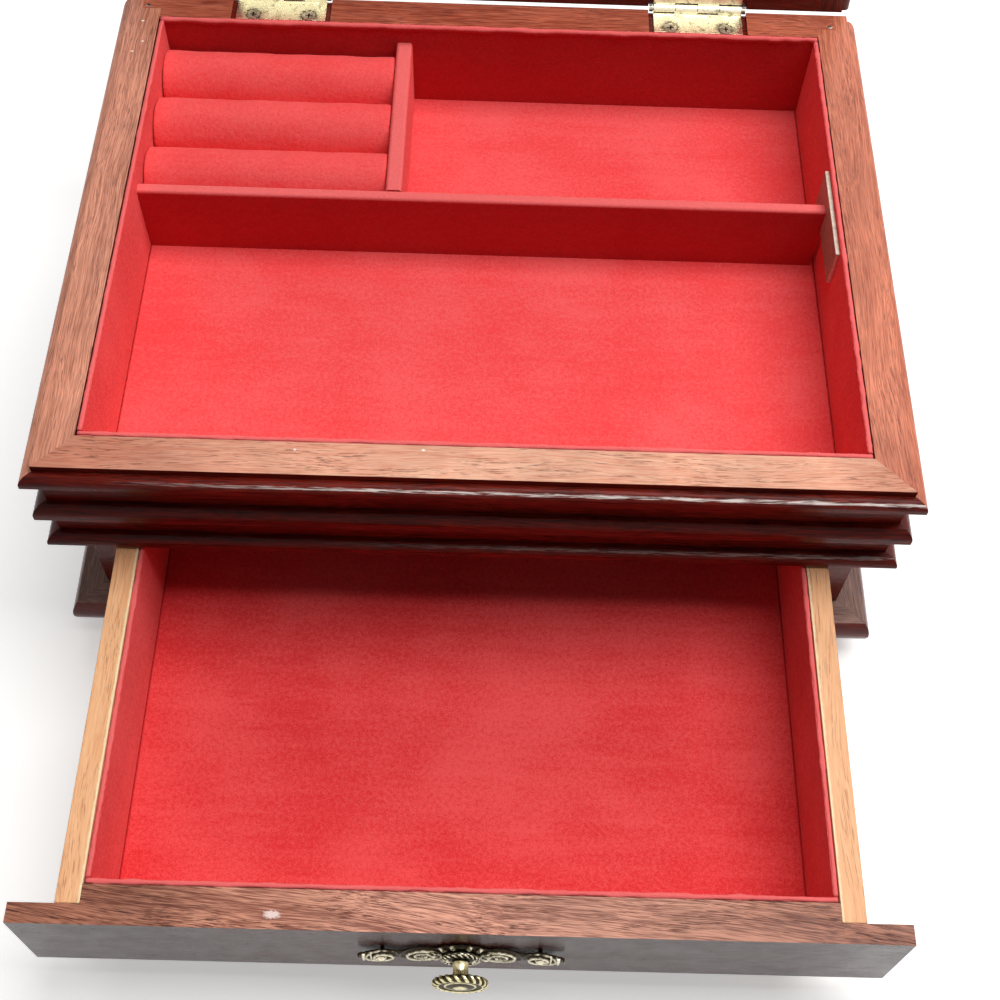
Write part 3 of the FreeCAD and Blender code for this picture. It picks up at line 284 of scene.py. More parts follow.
def mahogany(name, turn, log, up=(0.0, 0.0, 1.0), level=TOP, lacquer=LACQUER, bare=BARE, worn_rough=0.40,
             edge=0.6, round_edge=0.90, figure=1.0, pores=0.62, fine=1.4, ripple=1.6, gloss=0.28, shine=0.24,
             coat=0.06, ends=None, middle=0.0, spread=0.15, crest_highlights=(), spots=()):
    """Lacquered mahogany, rubbed to bare wood where it faces up, above a level. Ends are a tint
    multiplied in away from a middle, over a spread. Crest highlights are painted highlights: pale
    streaks along the beads, each given by a height, where they begin and a strength. Spots are marks,
    as spotted takes them."""
    material = bpy.data.materials.new(name)
    material.use_nodes = True
    tree = material.node_tree
    shade = tree.nodes["Principled BSDF"]
    coordinates, point = placed(tree, turn, log, fine)
    dark = node(tree, "ShaderNodeGroup", node_tree=wood)
    light = node(tree, "ShaderNodeGroup", node_tree=wood)
    for grain, (pale, deep), holes in ((dark, lacquer, 0.35), (light, bare, pores)):
        tree.links.new(point, grain.inputs["Point"])
        grain.inputs["Pale"].default_value = pale
        grain.inputs["Deep"].default_value = deep
        grain.inputs["Pores"].default_value = holes
        grain.inputs["Figure"].default_value = figure
    wear = node(tree, "ShaderNodeGroup", {"Up": up, "Level": level, "Edge": edge, "Round": round_edge},
                node_tree=rubbed)
    tree.links.new(coordinates.outputs["Object"], wear.inputs["Point"])
    tree.links.new(coordinates.outputs["Normal"], wear.inputs["Normal"])
    worn = wear.outputs["Worn"]
    blotches = noise(tree, coordinates.outputs["Object"], 34.0)
    smudges = noise(tree, coordinates.outputs["Object"], 120.0, 4.0)
    base = mixed(tree, worn, dark.outputs["Color"], light.outputs["Color"])
    tone = between(tree, blotches, 0.35, 0.68, 0.84, 1.08)
    base = node(tree, "ShaderNodeVectorMath", {0: base, "Scale": tone}, operation="SCALE").outputs[0]
    if ends:
        place = node(tree, "ShaderNodeSeparateXYZ", {0: coordinates.outputs["Object"]})
        away = sums(tree, "ABSOLUTE", sums(tree, "SUBTRACT", place.outputs["X"], middle))
        base = mixed(tree, between(tree, away, 0.2 * spread, spread), base, ends, blend="MULTIPLY")
    # Painted highlights along the bead crests.
    for crest_highlight in crest_highlights:
        base = painted_crest_highlight(tree, coordinates, point, base, *crest_highlight)
    for spot in spots:
        base = spotted(tree, coordinates, base, *spot)
    tree.links.new(base, shade.inputs["Base Color"])
    dulled = between(tree, smudges, 0.35, 0.7, 0.5 * gloss, gloss)
    tree.links.new(mixed(tree, worn, dulled, worn_rough, "FLOAT"), shade.inputs["Roughness"])
    shade.inputs["Specular IOR Level"].default_value = shine
    shade.inputs["Coat Weight"].default_value = coat
    shade.inputs["Coat Roughness"].default_value = 0.12
    relief = mixed(tree, worn, dark.outputs["Height"], light.outputs["Height"], "FLOAT")
    wave = noise(tree, stretched(tree, point, 25.0, 160.0), detail=2.0)
    relief = sums(tree, "MULTIPLY_ADD", wave, ripple, relief)
    bump = node(tree, "ShaderNodeBump", {"Height": relief, "Strength": 0.5, "Distance": 0.00015})
    tree.links.new(bump.outputs[0], shade.inputs["Normal"])
    return material


def dress(name, material, edge=EDGE, steps=2):
    """Gives a carried-over piece its finish and rounds its sharp edges."""
    piece = parts[name]
    piece.data.materials.clear()
    piece.data.materials.append(material)
    if edge:
        weld = piece.modifiers.new("joined", "WELD")
        weld.merge_threshold = 0.000002
        bevel = piece.modifiers.new("soft edges", "BEVEL")
        bevel.width = edge
        bevel.segments = steps
        bevel.limit_method = "ANGLE"
        bevel.angle_limit = math.radians(28)
        bevel.use_clamp_overlap = True
        piece.modifiers.new("even shading", "WEIGHTED_NORMAL")
    return piece


ALONG_X, ALONG_Y = (0.0, 0.0, 0.0), (0.0, 0.0, math.pi / 2)
BEAD_LEVEL = TOP - 0.0075
WARM_LACQUER = ((0.270, 0.0200, 0.0090, 1), (0.055, 0.0046, 0.0028, 1))
# Bare wood of the case front's top, lightened so that it carries painted sheen as well as the wood's own
# colour.
NEAR_BARE_WITH_SHEEN = ((1.0, 0.59, 0.41, 1), (0.80, 0.345, 0.220, 1))
BACK_BARE = ((0.66, 0.190, 0.105, 1), (0.28, 0.048, 0.023, 1))
LEFT_BARE = ((0.87, 0.375, 0.240, 1), (0.39, 0.130, 0.072, 1))
RIGHT_BARE = ((0.83, 0.275, 0.155, 1), (0.40, 0.095, 0.048, 1))
# Multiplied in towards the ends of the case front's top, which come out darker than its middle.
ENDS_DARKENING_TINT = (0.64, 0.47, 0.44, 1)
# Painted highlights along the first and third bead crests: the height, where they begin across the box, and
# their strength.
FIRST_CREST_HIGHLIGHT, THIRD_CREST_HIGHLIGHT = (0.0998, -0.115, 1.0), (0.0643, -0.055, 0.45)
SPECK = (0.0008, 0.0006, 0.001)
FRONT_SPECKS = ((-0.0163, -0.0562, TOP), (-0.0560, -0.0573, TOP))
LEFT_SPECKS = ((-0.1305, 0.1325, TOP), (-0.1290, 0.1215, TOP), (-0.1320, 0.1160, TOP))
dress("case_front", mahogany(
    "case front mahogany", ALONG_X, 1.0, lacquer=WARM_LACQUER, bare=NEAR_BARE_WITH_SHEEN, figure=1.2, shine=0.10,
    coat=0.0, ends=ENDS_DARKENING_TINT, middle=0.04, spread=0.18, crest_highlights=(FIRST_CREST_HIGHLIGHT, THIRD_CREST_HIGHLIGHT),
    spots=[(place, SPECK, CREAM) for place in FRONT_SPECKS]))
dress("case_left", mahogany(
    "case left mahogany", ALONG_Y, 2.0, level=BEAD_LEVEL, bare=LEFT_BARE, round_edge=0.30,
    spots=[(place, SPECK, CREAM) for place in LEFT_SPECKS]))
dress("case_right", mahogany("case right mahogany", ALONG_Y, 3.0, level=BEAD_LEVEL, bare=RIGHT_BARE,
                             round_edge=0.30))
dress("case_back", mahogany("case back mahogany", ALONG_X, 4.0, bare=BACK_BARE, worn_rough=0.3, figure=1.3))

# --- Lid ----------------------------------------------------------------------------------------
# Four rails round a plain panel, lacquered inside and out; a red lining covers the panel's inside.
# Its patterns are laid out along the lid as it leans back on its hinges.

LEAN = math.radians(100)
lid_up = (0.0, -math.sin(LEAN), math.cos(LEAN))
lid_down = tuple(-value for value in lid_up)
AXIS = np.array((0.0, 0.14802, 0.1036))


def lid_turn(around):
    """The Mapping turn that lays the leaning lid flat, then its grain along X."""
    flat = Matrix.Rotation(LEAN, 3, "X")
    return (Matrix.Rotation(around, 3, "Z") @ flat).to_euler("XYZ")


mate = float(np.dot(AXIS, lid_down)) - 0.0005
NOWHERE = 9.0
LID_BARE = ((0.22, 0.030, 0.014, 1), (0.085, 0.011, 0.006, 1))
for name, around, log in (("lid_front", 0.0, 5.0), ("lid_back", 0.0, 6.0), ("lid_left", math.pi / 2, 7.0),
                          ("lid_right", math.pi / 2, 8.0)):
    dress(name, mahogany(f"{name} mahogany", lid_turn(around), log, lid_down, mate, bare=LID_BARE,
                         worn_rough=0.25))
dress("lid_panel", mahogany("lid panel mahogany", lid_turn(0.0), 9.0, lid_down, NOWHERE))

# --- Base: side panels, plinth and feet ---------------------------------------------------------
# Plain side panels stand on four plinth rails with a bulging face, on turned bun feet. The plinth's
# top catches dust and scratches, so it is greyer and duller than the rest.

PLINTH_TOP = 0.0190
DUSTY = ((0.350, 0.205, 0.165, 1), (0.085, 0.042, 0.033, 1))
for name, turn, log in (("plinth_front", ALONG_X, 10.0), ("plinth_left", ALONG_Y, 11.0),
                        ("plinth_right", ALONG_Y, 12.0), ("plinth_back", ALONG_X, 13.0)):
    dress(name, mahogany(f"{name} mahogany", turn, log, level=PLINTH_TOP, bare=DUSTY, worn_rough=0.45))
for name, log in (("side_panel_left", 14.0), ("side_panel_right", 15.0), ("back_panel", 16.0)):
    turn = ALONG_X if name == "back_panel" else ALONG_Y
    dress(name, mahogany(f"{name} mahogany", turn, log, level=NOWHERE))
feet = mahogany("foot mahogany", ALONG_X, 17.0, level=NOWHERE)
for depth in ("front", "back"):
    for side in ("left", "right"):
        dress(f"foot_{depth}_{side}", feet, 0.0)

# --- Drawer boards ------------------------------------------------------------------------------
# A mahogany front, rubbed on its top edge, and plain orange-tan sides and back that are let into it
# and left unpolished; thin boards close the drawer, the tray and the bay below.

TAN = ((0.98, 0.55, 0.28, 1), (0.84, 0.38, 0.165, 1))
TAN_PORE = (0.50, 0.20, 0.09, 1)
SAPWOOD = (0.98, 0.78, 0.46, 1)
FRONT_BARE = ((0.88, 0.41, 0.275, 1), (0.27, 0.076, 0.042, 1))
FRONT_LACQUER = ((0.110, 0.0160, 0.0090, 1), (0.042, 0.0070, 0.0045, 1))
SCUFF = (0.006, 0.005, 0.005, 1)
BLOOM = (0.90, 0.70, 0.64, 1)
FRONT_TOP = 0.0592
SLANT = (0.0, 0.0, 0.10)
# Multiplied in away from the middle of the drawer front's top, so that the middle stays lighter: painted
# sheen.
SHEEN_TINT_OFF_MIDDLE = (0.60, 0.51, 0.45, 1)
MARKS = (((-0.0549, -0.1890, FRONT_TOP), (0.0036, 0.0017, 0.002), BLOOM),
         ((0.0497, -0.1932, 0.0400), (0.0040, 0.002, 0.0011), SCUFF),
         ((0.0859, -0.1932, 0.0330), (0.0052, 0.002, 0.0009), SCUFF))


def plain_wood(name, turn, log, colours, inner=0.0):
    """Unpolished wood: the grain alone, with dull pores. A side board is paler along its inner edge,
    which lies at `inner` from the middle of the box."""
    material = bpy.data.materials.new(name)
    material.use_nodes = True
    tree = material.node_tree
    shade = tree.nodes["Principled BSDF"]
    coordinates, point = placed(tree, turn, log)
    grain = node(tree, "ShaderNodeGroup", {
        "Point": point, "Pale": colours[0], "Deep": colours[1], "Pore": TAN_PORE, "Pores": 0.75},
        node_tree=wood)
    colour = grain.outputs["Color"]
    if inner:
        across = node(tree, "ShaderNodeSeparateXYZ", {0: coordinates.outputs["Object"]}).outputs["X"]
        across = sums(tree, "ABSOLUTE", across)
        ragged = sums(tree, "MULTIPLY_ADD", noise(tree, point, 400.0, 2.0), 0.001, across)
        colour = mixed(tree, between(tree, ragged, inner + 0.0014, inner + 0.0009), colour, SAPWOOD)
    tree.links.new(colour, shade.inputs["Base Color"])
    shade.inputs["Roughness"].default_value = 0.55
    bump = node(tree, "ShaderNodeBump", {
        "Height": grain.outputs["Height"], "Strength": 0.4, "Distance": 0.00012})
    tree.links.new(bump.outputs[0], shade.inputs["Normal"])
    return material


dress("drawer_front", mahogany(
    "drawer front mahogany", SLANT, 18.0, level=FRONT_TOP, lacquer=FRONT_LACQUER, bare=FRONT_BARE,
    figure=1.6, pores=1.1, fine=1.5, ripple=0.25, ends=SHEEN_TINT_OFF_MIDDLE, spread=0.11, spots=MARKS), 0.0012, 4)
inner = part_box("drawer_side_right")[0][0]
for name, turn, log, inner_edge in (
        ("drawer_side_left", ALONG_Y, 19.0, inner), ("drawer_side_right", ALONG_Y, 20.0, inner),
        ("drawer_back", ALONG_X, 21.0, 0.0)):
    dress(name, plain_wood(f"{name} wood", turn, log, TAN, inner=inner_edge), 0.0004)
PLY = ((0.42, 0.27, 0.16, 1), (0.27, 0.16, 0.09, 1))
for name, log in (("drawer_bottom", 22.0), ("tray_bottom", 23.0), ("bay_floor", 24.0)):
    dress(name, plain_wood(f"{name} board", ALONG_X, log, PLY))

# --- Red flock ----------------------------------------------------------------------------------
# Card and board covered in short red nylon flock: the floors, the walls and both dividers of the
# tray, the drawer and the lid. The pile is dull. Its up-facing edges are painted paler, a painted
# highlight, and the faces that look towards the drawer are painted darker, a painted shade. The
# card's top edges are frayed.

RED = (0.95, 0.108, 0.108, 1)
RED_LOW = (0.80, 0.042, 0.046, 1)
# Painted shade for the flock's faces that look towards the drawer.
FRONT_FACE_SHADE = (0.40, 0.006, 0.010, 1)
# Painted highlight for the flock's up-facing edges.
LIT_TOP_PINK = (0.95, 0.21, 0.20, 1)
# Painted shade for the creases where the floors meet the walls.
CREASE_SHADE = (0.40, 0.009, 0.011, 1)
pile, pile_in, pile_out = new_group("flock pile", (
    ("Point", "Vector", None), ("High", "Color", RED), ("Low", "Color", RED_LOW), ("Bands", "Float", 0.5),
    ("Normal", "Vector", None), ("Top Highlight", "Float", 0.0), ("Front Shade", "Float", 0.0)),
    (("Color", "Color"), ("Height", "Float")))
point = pile_in.outputs["Point"]
fibres = noise(pile, point, 1900.0, 2.0, 0.7)
tufts = noise(pile, point, 700.0, 3.0, 0.6)
brushed = noise(pile, stretched(pile, point, 30.0, 260.0), detail=3.0)
clouds = noise(pile, point, 26.0, 3.0)
shade_of = sums(pile, "ADD", sums(pile, "MULTIPLY", fibres, 0.40), sums(pile, "MULTIPLY", tufts, 0.30))
banded = sums(pile, "MULTIPLY", sums(pile, "SUBTRACT", brushed, 0.5), pile_in.outputs["Bands"])
shade_of = sums(pile, "ADD", shade_of, sums(pile, "ADD", banded, sums(pile, "MULTIPLY", clouds, 0.30)))
shade_of = between(pile, shade_of, 0.425, 0.575)
body = mixed(pile, shade_of, pile_in.outputs["Low"], pile_in.outputs["High"])
# Painted shade: faces turned towards the drawer are darkened by the given share.
facing = node(pile, "ShaderNodeSeparateXYZ", {0: pile_in.outputs["Normal"]})
front_shaded = sums(pile, "MULTIPLY", between(pile, facing.outputs["Y"], -0.3, -0.95), pile_in.outputs["Front Shade"])
body = mixed(pile, front_shaded, body, FRONT_FACE_SHADE)
# Painted highlight: up-facing faces are lightened by the given share.
top_highlight = sums(pile, "MULTIPLY", between(pile, facing.outputs["Z"], 0.3, 0.9), pile_in.outputs["Top Highlight"])
pile.links.new(mixed(pile, top_highlight, body, LIT_TOP_PINK), pile_out.inputs["Color"])
pile.links.new(sums(pile, "ADD", fibres, sums(pile, "MULTIPLY", tufts, 1.2)), pile_out.inputs["Height"])


def flock(name, turn=(0.0, 0.0, 0.0), bands=0.2, top_highlight=0.0, half=0.0, front_shade=0.0, colours=(RED, RED_LOW)):
    """Red flock. A floor of a given half width has painted shade down each side, a dark line in the crease
    where it meets the wall.
    """
    material = bpy.data.materials.new(name)
    material.use_nodes = True
    tree = material.node_tree
    shade = tree.nodes["Principled BSDF"]
    coordinates, point = placed(tree, turn)
    cover = node(tree, "ShaderNodeGroup", node_tree=pile)
    tree.links.new(point, cover.inputs["Point"])
    tree.links.new(coordinates.outputs["Normal"], cover.inputs["Normal"])
    cover.inputs["High"].default_value, cover.inputs["Low"].default_value = colours
    cover.inputs["Top Highlight"].default_value = top_highlight
    cover.inputs["Front Shade"].default_value = front_shade
    cover.inputs["Bands"].default_value = bands
    colour = cover.outputs["Color"]
    # Painted shade in the creases where the floor meets the walls.
    if half:
        across = node(tree, "ShaderNodeSeparateXYZ", {0: coordinates.outputs["Object"]}).outputs["X"]
        across = sums(tree, "ABSOLUTE", across)
        ragged = sums(tree, "MULTIPLY_ADD", noise(tree, point, 700.0, 2.0), 0.0007, across)
        colour = mixed(tree, between(tree, ragged, half - 0.0004, half + 0.0002), colour, CREASE_SHADE)
    tree.links.new(colour, shade.inputs["Base Color"])
    shade.inputs["Roughness"].default_value = 0.95
    shade.inputs["Specular IOR Level"].default_value = 0.12
    shade.inputs["Sheen Weight"].default_value = 0.22
    shade.inputs["Sheen Roughness"].default_value = 0.45
    shade.inputs["Sheen Tint"].default_value = (1.0, 0.45, 0.42, 1)
    bump = node(tree, "ShaderNodeBump", {
        "Height": cover.outputs["Height"], "Strength": 0.8, "Distance": 0.00025})
    tree.links.new(bump.outputs[0], shade.inputs["Normal"])
    return material


wall_flock = flock("wall flock", bands=0.1, top_highlight=0.7, front_shade=0.8)
# Lit and shaded copies of the red flock: the tray's floor is painted lighter and the drawer's floor darker
# than the walls' red, as painted light and shade.
FLOOR_REDS_LIT_AND_SHADED = {"tray_lining": ((1.0, 0.135, 0.138, 1), (0.94, 0.068, 0.072, 1)),
          "drawer_lining": ((0.90, 0.096, 0.097, 1), (0.75, 0.036, 0.040, 1))}
for name, wall in (("tray_lining", "tray_liner_right"), ("drawer_lining", "drawer_liner_right")):
    dress(name, flock(f"{name} flock", bands=0.12, colours=FLOOR_REDS_LIT_AND_SHADED[name], half=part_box(wall)[0][0]), 0.0)
dress("lid_lining", flock("lid flock", lid_turn(0.0)), 0.0)
for name in ("tray_liner_front", "tray_liner_back", "tray_liner_left", "tray_liner_right", "divider_long",
             "divider_short", "drawer_liner_front", "drawer_liner_back", "drawer_liner_left",
             "drawer_liner_right"):
    dress(name, wall_flock, 0.0006, 3)


def tube_faces(rows, columns):
    """Quads between `rows` closed loops of `columns` points, and one polygon over each end."""
    row, column = np.meshgrid(np.arange(rows - 1), np.arange(columns), indexing="ij")
    beside = (column + 1) % columns
    quads = np.stack((row, row, row + 1, row + 1), axis=-1) * columns
    quads += np.stack((column, beside, beside, column), axis=-1)
    faces = quads.reshape(-1, 4).tolist()
    faces.append(list(range(columns))[::-1])
    faces.append(list(range((rows - 1) * columns, rows * columns)))
    return faces


def new_piece(name, points, material, stands_for, body):
    """A closed tube of loops as a finished piece, in the place of the plain solids it stands for."""
    mesh = bpy.data.meshes.new(name)
    mesh.from_pydata(points.reshape(-1, 3).tolist(), [], tube_faces(*points.shape[:2]))
    mesh.polygons.foreach_set("use_smooth", np.ones(len(mesh.polygons), dtype=bool))
    mesh.materials.append(material)
    piece = bpy.data.objects.new(name, mesh)
    bpy.context.scene.collection.objects.link(piece)
    if stands_for:
        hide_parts(*stands_for)
    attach(piece, body)
    return piece


TUCK = 0.0003
RAGGED_WIDTH, RAGGED_MIDDLE, RAGGED_HEIGHT = 0.00022, 0.00015, 0.0001


def frayed_edge(node_name, seed, spread, proud):
    """Loops along the top of a liner: ovals as wide as its card and a little more on each side, whose
    width, middle and height wander by smoothed random amounts."""
    rows, columns = 240, 12
    low, high = (np.array(corner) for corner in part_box(node_name))
    run = int(np.argmax((high - low)[:2]))
    random = np.random.default_rng(seed)
    wander = [np.convolve(random.normal(size=rows + 4), np.ones(5) / 5, "valid")[:, None] for _ in range(3)]
    turn = np.linspace(0, 2 * np.pi, columns, endpoint=False)
    half = (high - low)[1 - run] / 2 + spread + RAGGED_WIDTH * wander[0]
    points = np.empty((rows, columns, 3))
    points[..., run] = np.linspace(low[run] + TUCK, high[run] - TUCK, rows)[:, None]
    points[..., 1 - run] = (low + high)[1 - run] / 2 + RAGGED_MIDDLE * wander[1] + half * np.cos(turn)
    points[..., 2] = high[2] - TUCK + (TUCK + proud + RAGGED_HEIGHT * wander[2]) * np.sin(turn)
    return points if run == 0 else points[:, ::-1]


FRAYED = (("tray_liner_back", 0.00045, 0.0009, "case"), ("tray_liner_left", 0.00005, 0.0004, "case"),
          ("tray_liner_right", 0.00005, 0.0004, "case"), ("tray_liner_front", 0.0001, 0.0004, "case"),
          ("drawer_liner_left", 0.00005, 0.0004, "drawer"), ("drawer_liner_right", 0.00005, 0.0004, "drawer"),
          ("drawer_liner_front", 0.0001, 0.0004, "drawer"))
for count, (name, spread, proud, body) in enumerate(FRAYED):
    new_piece(f"{name}_edge", frayed_edge(name, count, spread, proud), wall_flock, (), body)

# --- Ring rolls ---------------------------------------------------------------------------------
# Three foam bars with round tops, covered in the same flock and pressed side by side, so that rings
# are held in the creases between them. The cover swells slightly on its foam.

ROLLS = ("ring_roll_1", "ring_roll_2", "ring_roll_3")
SWELL, WAVE, NET = 0.0004, 0.00010, 0.0010
FRAMES = 20


def roll_points(low, high, seed):
    """Loops along X, each with straight sides, a half-round top and a flat foot: sine powers near 0
    square the foot's corners, and near 1 keep the top round. Slow waves move the top slightly."""
    rows, columns = 90, 64
    low, high = low + (0.0, SWELL, SWELL), high - (0.0, SWELL, SWELL)
    middle, half = (low + high) / 2, (high - low) / 2
    along = np.linspace(-1, 1, rows)[:, None]
    turn = np.linspace(0, 2 * np.pi, columns, endpoint=False)
    cosine, sine = np.cos(turn), np.sin(turn)
    side = np.sign(cosine) * np.abs(cosine) ** np.where(sine > 0, 0.95, 0.25)
    spring = high[2] - half[1]
    foot = spring - (spring - low[2]) * np.abs(sine) ** 0.3
    rise = np.where(sine > 0, spring + half[1] * np.abs(sine), foot)
    wave = WAVE * (np.sin(along * 9 + seed * 2.1) + np.sin(along * 17 + 3 * turn + seed))
    points = np.empty((rows, columns, 3))
    points[..., 0] = middle[0] + along * half[0]
    points[..., 1] = middle[1] + side * half[1]
    points[..., 2] = rise + wave * (sine > 0)
    return points


def all_points(mesh):
    """The mesh's points as an array of rows of three."""
    flat = np.empty(len(mesh.vertices) * 3)
    mesh.vertices.foreach_get("co", flat)
    return flat.reshape(-1, 3)


def as_shown(piece):
    """A mesh of the piece as its modifiers leave it."""
    return bpy.data.meshes.new_from_object(piece.evaluated_get(bpy.context.evaluated_depsgraph_get()))


def swell_cover(piece, most):
    """The cover swells like a balloon for some frames; then no point is left further than `most` from
    where it began."""
    remesh = piece.modifiers.new("even net", "REMESH")
    remesh.mode = "VOXEL"
    remesh.voxel_size = NET
    before = all_points(as_shown(piece))
    cloth = piece.modifiers.new("cover", "CLOTH")
    cloth.settings.quality = 4
    cloth.settings.mass = 0.1
    cloth.settings.use_pressure = True
    cloth.settings.uniform_pressure_force = 4.0
    cloth.settings.effector_weights.gravity = 0.0
    cloth.point_cache.frame_start, cloth.point_cache.frame_end = 1, FRAMES
    for number in range(1, FRAMES + 1):
        bpy.context.scene.frame_set(number)
    swollen = as_shown(piece)
    move = all_points(swollen) - before
    length = np.linalg.norm(move, axis=1, keepdims=True)
    after = before + move * np.minimum(1.0, most / np.maximum(length, 1e-9))
    swollen.vertices.foreach_set("co", after.ravel())
    swollen.polygons.foreach_set("use_smooth", np.ones(len(swollen.polygons), dtype=bool))
    swollen.update()
    piece.modifiers.clear()
    piece.data = swollen
    bpy.context.scene.frame_set(1)


# A lighter copy of the red flock for the rolls: painted light.
LIT_ROLL_RED = ((1.0, 0.118, 0.118, 1), (0.96, 0.058, 0.062, 1))
roll_flock = flock("roll flock", bands=0.1, top_highlight=0.12, front_shade=0.15, colours=LIT_ROLL_RED)
for count, name in enumerate(ROLLS):
    low, high = (np.array(corner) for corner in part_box(name))
    loops = roll_points(low, high, count)
    roll = new_piece(f"roll_{count + 1}", loops, roll_flock, (name,), "case")
    swell_cover(roll, SWELL)
    finer = roll.modifiers.new("finer", "SUBSURF")
    finer.levels = finer.render_levels = 1

# --- Wall plate ---------------------------------------------------------------------------------
# A thin moulded plastic plate with a cream edge, stuck on the tray's right wall beside the long
# divider. Its face, turned away from the lamp, is painted darker and browner: painted shade, mottled
# at random.

DIRTY_EDGE, CLEAN_EDGE = (0.66, 0.58, 0.44, 1), (0.86, 0.80, 0.68, 1)
SHADED_FACE_DARK, SHADED_FACE_LIGHT = (0.30, 0.17, 0.115, 1), (0.50, 0.34, 0.25, 1)
cream = bpy.data.materials.new("aged cream plastic")
cream.use_nodes = True
tree = cream.node_tree
coordinates = node(tree, "ShaderNodeTexCoord")
grime = noise(tree, coordinates.outputs["Object"], 420.0, 4.0, 0.7)
lengthwise = noise(tree, stretched(tree, coordinates.outputs["Object"], 700.0, 60.0), detail=3.0)
inward = node(tree, "ShaderNodeSeparateXYZ", {0: coordinates.outputs["Normal"]})
face = between(tree, inward.outputs["X"], -0.9, -0.6, 1.0, 0.0)
# Painted shade on the plate's face: darker, browner tones, mottled at random.
shaded_brown = mixed(tree, between(tree, sums(tree, "ADD", grime, lengthwise), 0.8, 1.2),
                SHADED_FACE_DARK, SHADED_FACE_LIGHT)
edge = mixed(tree, between(tree, grime, 0.4, 0.65), DIRTY_EDGE, CLEAN_EDGE)
tree.links.new(mixed(tree, face, edge, shaded_brown), tree.nodes["Principled BSDF"].inputs["Base Color"])
tree.nodes["Principled BSDF"].inputs["Roughness"].default_value = 0.45
dress("wall_plate", cream, 0.0003)

# --- Hinges -------------------------------------------------------------------------------------
# Two pressed brass butt hinges let into the case and the lid, bright and lightly scratched, each with
# four plated cross-headed screws and a pin with round ends.


def metal(name, colours, rough, spots=(0.45, 0.62), scale=500.0, scratches=0.5, sunk=None, grime_shade_spots=()):
    """Bare metal: two tones in fine blotches, duller in the darker one, with crossing scratches. It is
    darkened below the height `sunk`, grime and painted shade in recesses, and the listed spots are
    grime and painted shade, as spotted takes them."""
    material = bpy.data.materials.new(name)
    material.use_nodes = True
    tree = material.node_tree
    shade = tree.nodes["Principled BSDF"]
    coordinates = node(tree, "ShaderNodeTexCoord")
    point = coordinates.outputs["Object"]
    blotches = between(tree, noise(tree, point, scale, 4.0, 0.65), *spots)
    colour = mixed(tree, blotches, colours[0], colours[1])
    for grime_shade_spot in grime_shade_spots:
        colour = spotted(tree, coordinates, colour, *grime_shade_spot)
    if sunk:
        height = node(tree, "ShaderNodeSeparateXYZ", {0: point}).outputs["Z"]
        colour = mixed(tree, between(tree, height, sunk, sunk - 0.0001), colour, GRIME_AND_SHADE)
    tree.links.new(colour, shade.inputs["Base Color"])
    tree.links.new(between(tree, blotches, 0.0, 1.0, rough[0], rough[1]), shade.inputs["Roughness"])
    shade.inputs["Metallic"].default_value = 1.0
    fine = noise(tree, stretched(tree, point, 300.0, 6000.0), detail=2.0)
    bump = node(tree, "ShaderNodeBump", {
        "Height": sums(tree, "MULTIPLY_ADD", fine, scratches, noise(tree, point, 260.0, 2.0)),
        "Strength": 0.5, "Distance": 0.0001})
    tree.links.new(bump.outputs[0], shade.inputs["Normal"])
    return material


# Dark for grime and painted shade: round the screw seats and in the screws' cross recesses.
GRIME_AND_SHADE = (0.035, 0.025, 0.015, 1)
SCREW_HEAD, SCREW_APART = 0.00245, 0.021
SEAT_SHADE_REACH = (0.0048, 0.0048, 0.002)
BRASS, STEEL, SCREW = (((0.98, 0.93, 0.70, 1), (0.34, 0.27, 0.15, 1)),
                       ((0.60, 0.56, 0.48, 1), (0.20, 0.17, 0.13, 1)),
                       ((0.62, 0.58, 0.47, 1), (0.24, 0.20, 0.14, 1)))
low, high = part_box("hinge_screws_case")
seats = [(side * (high[0] - SCREW_HEAD - inward), (low[1] + high[1]) / 2, high[2])
         for side in (-1, 1) for inward in (0.0, SCREW_APART)]
# Each case leaf gets a ring of grime and painted shade round each screw seat.
bright_brass = metal("bright brass", BRASS, (0.24, 0.50), (0.54, 0.70), 420.0,
                     grime_shade_spots=[(seat, SEAT_SHADE_REACH, GRIME_AND_SHADE) for seat in seats])
plated = metal("plated steel", STEEL, (0.20, 0.40))
# The screws are darkened below their heads' top, in the cross recesses: grime and painted shade.
screw_steel = metal("plated screw", SCREW, (0.25, 0.45), sunk=high[2] - 0.0001)
for side in ("left", "right"):
    dress(f"hinge_leaf_case_{side}", bright_brass, 0.00012)
    dress(f"hinge_leaf_lid_{side}", bright_brass, 0.00012)
    dress(f"hinge_pin_{side}", plated, 0.0003, 3)
dress("hinge_screws_case", screw_steel, 0.0001)
for name in ("hinge_screws_lid", "case_nails", "pull_screw"):
    dress(name, plated, 0.0001)

# --- Pull ---------------------------------------------------------------------------------------
# A cast brass backplate with scrolled lobes that stand slightly off the wood towards their tips, a
# roped boss, and a knob with a roped rim on a plain neck. Old brass: dark in the hollows, rubbed
# bright on what fingers touch.

PULL = np.array((0.0, -0.19318, 0.0393))
LOBES = ((0.0, 9.5), (11.5, 6.6), (-11.5, 6.6), (23.7, 5.2), (-23.7, 5.2), (28.8, 2.2), (-28.8, 2.2))
WAIST, HALF_WIDE, BOW = 3.4, 31.0, 1.3
TACKS = (-23.7, 23.7)


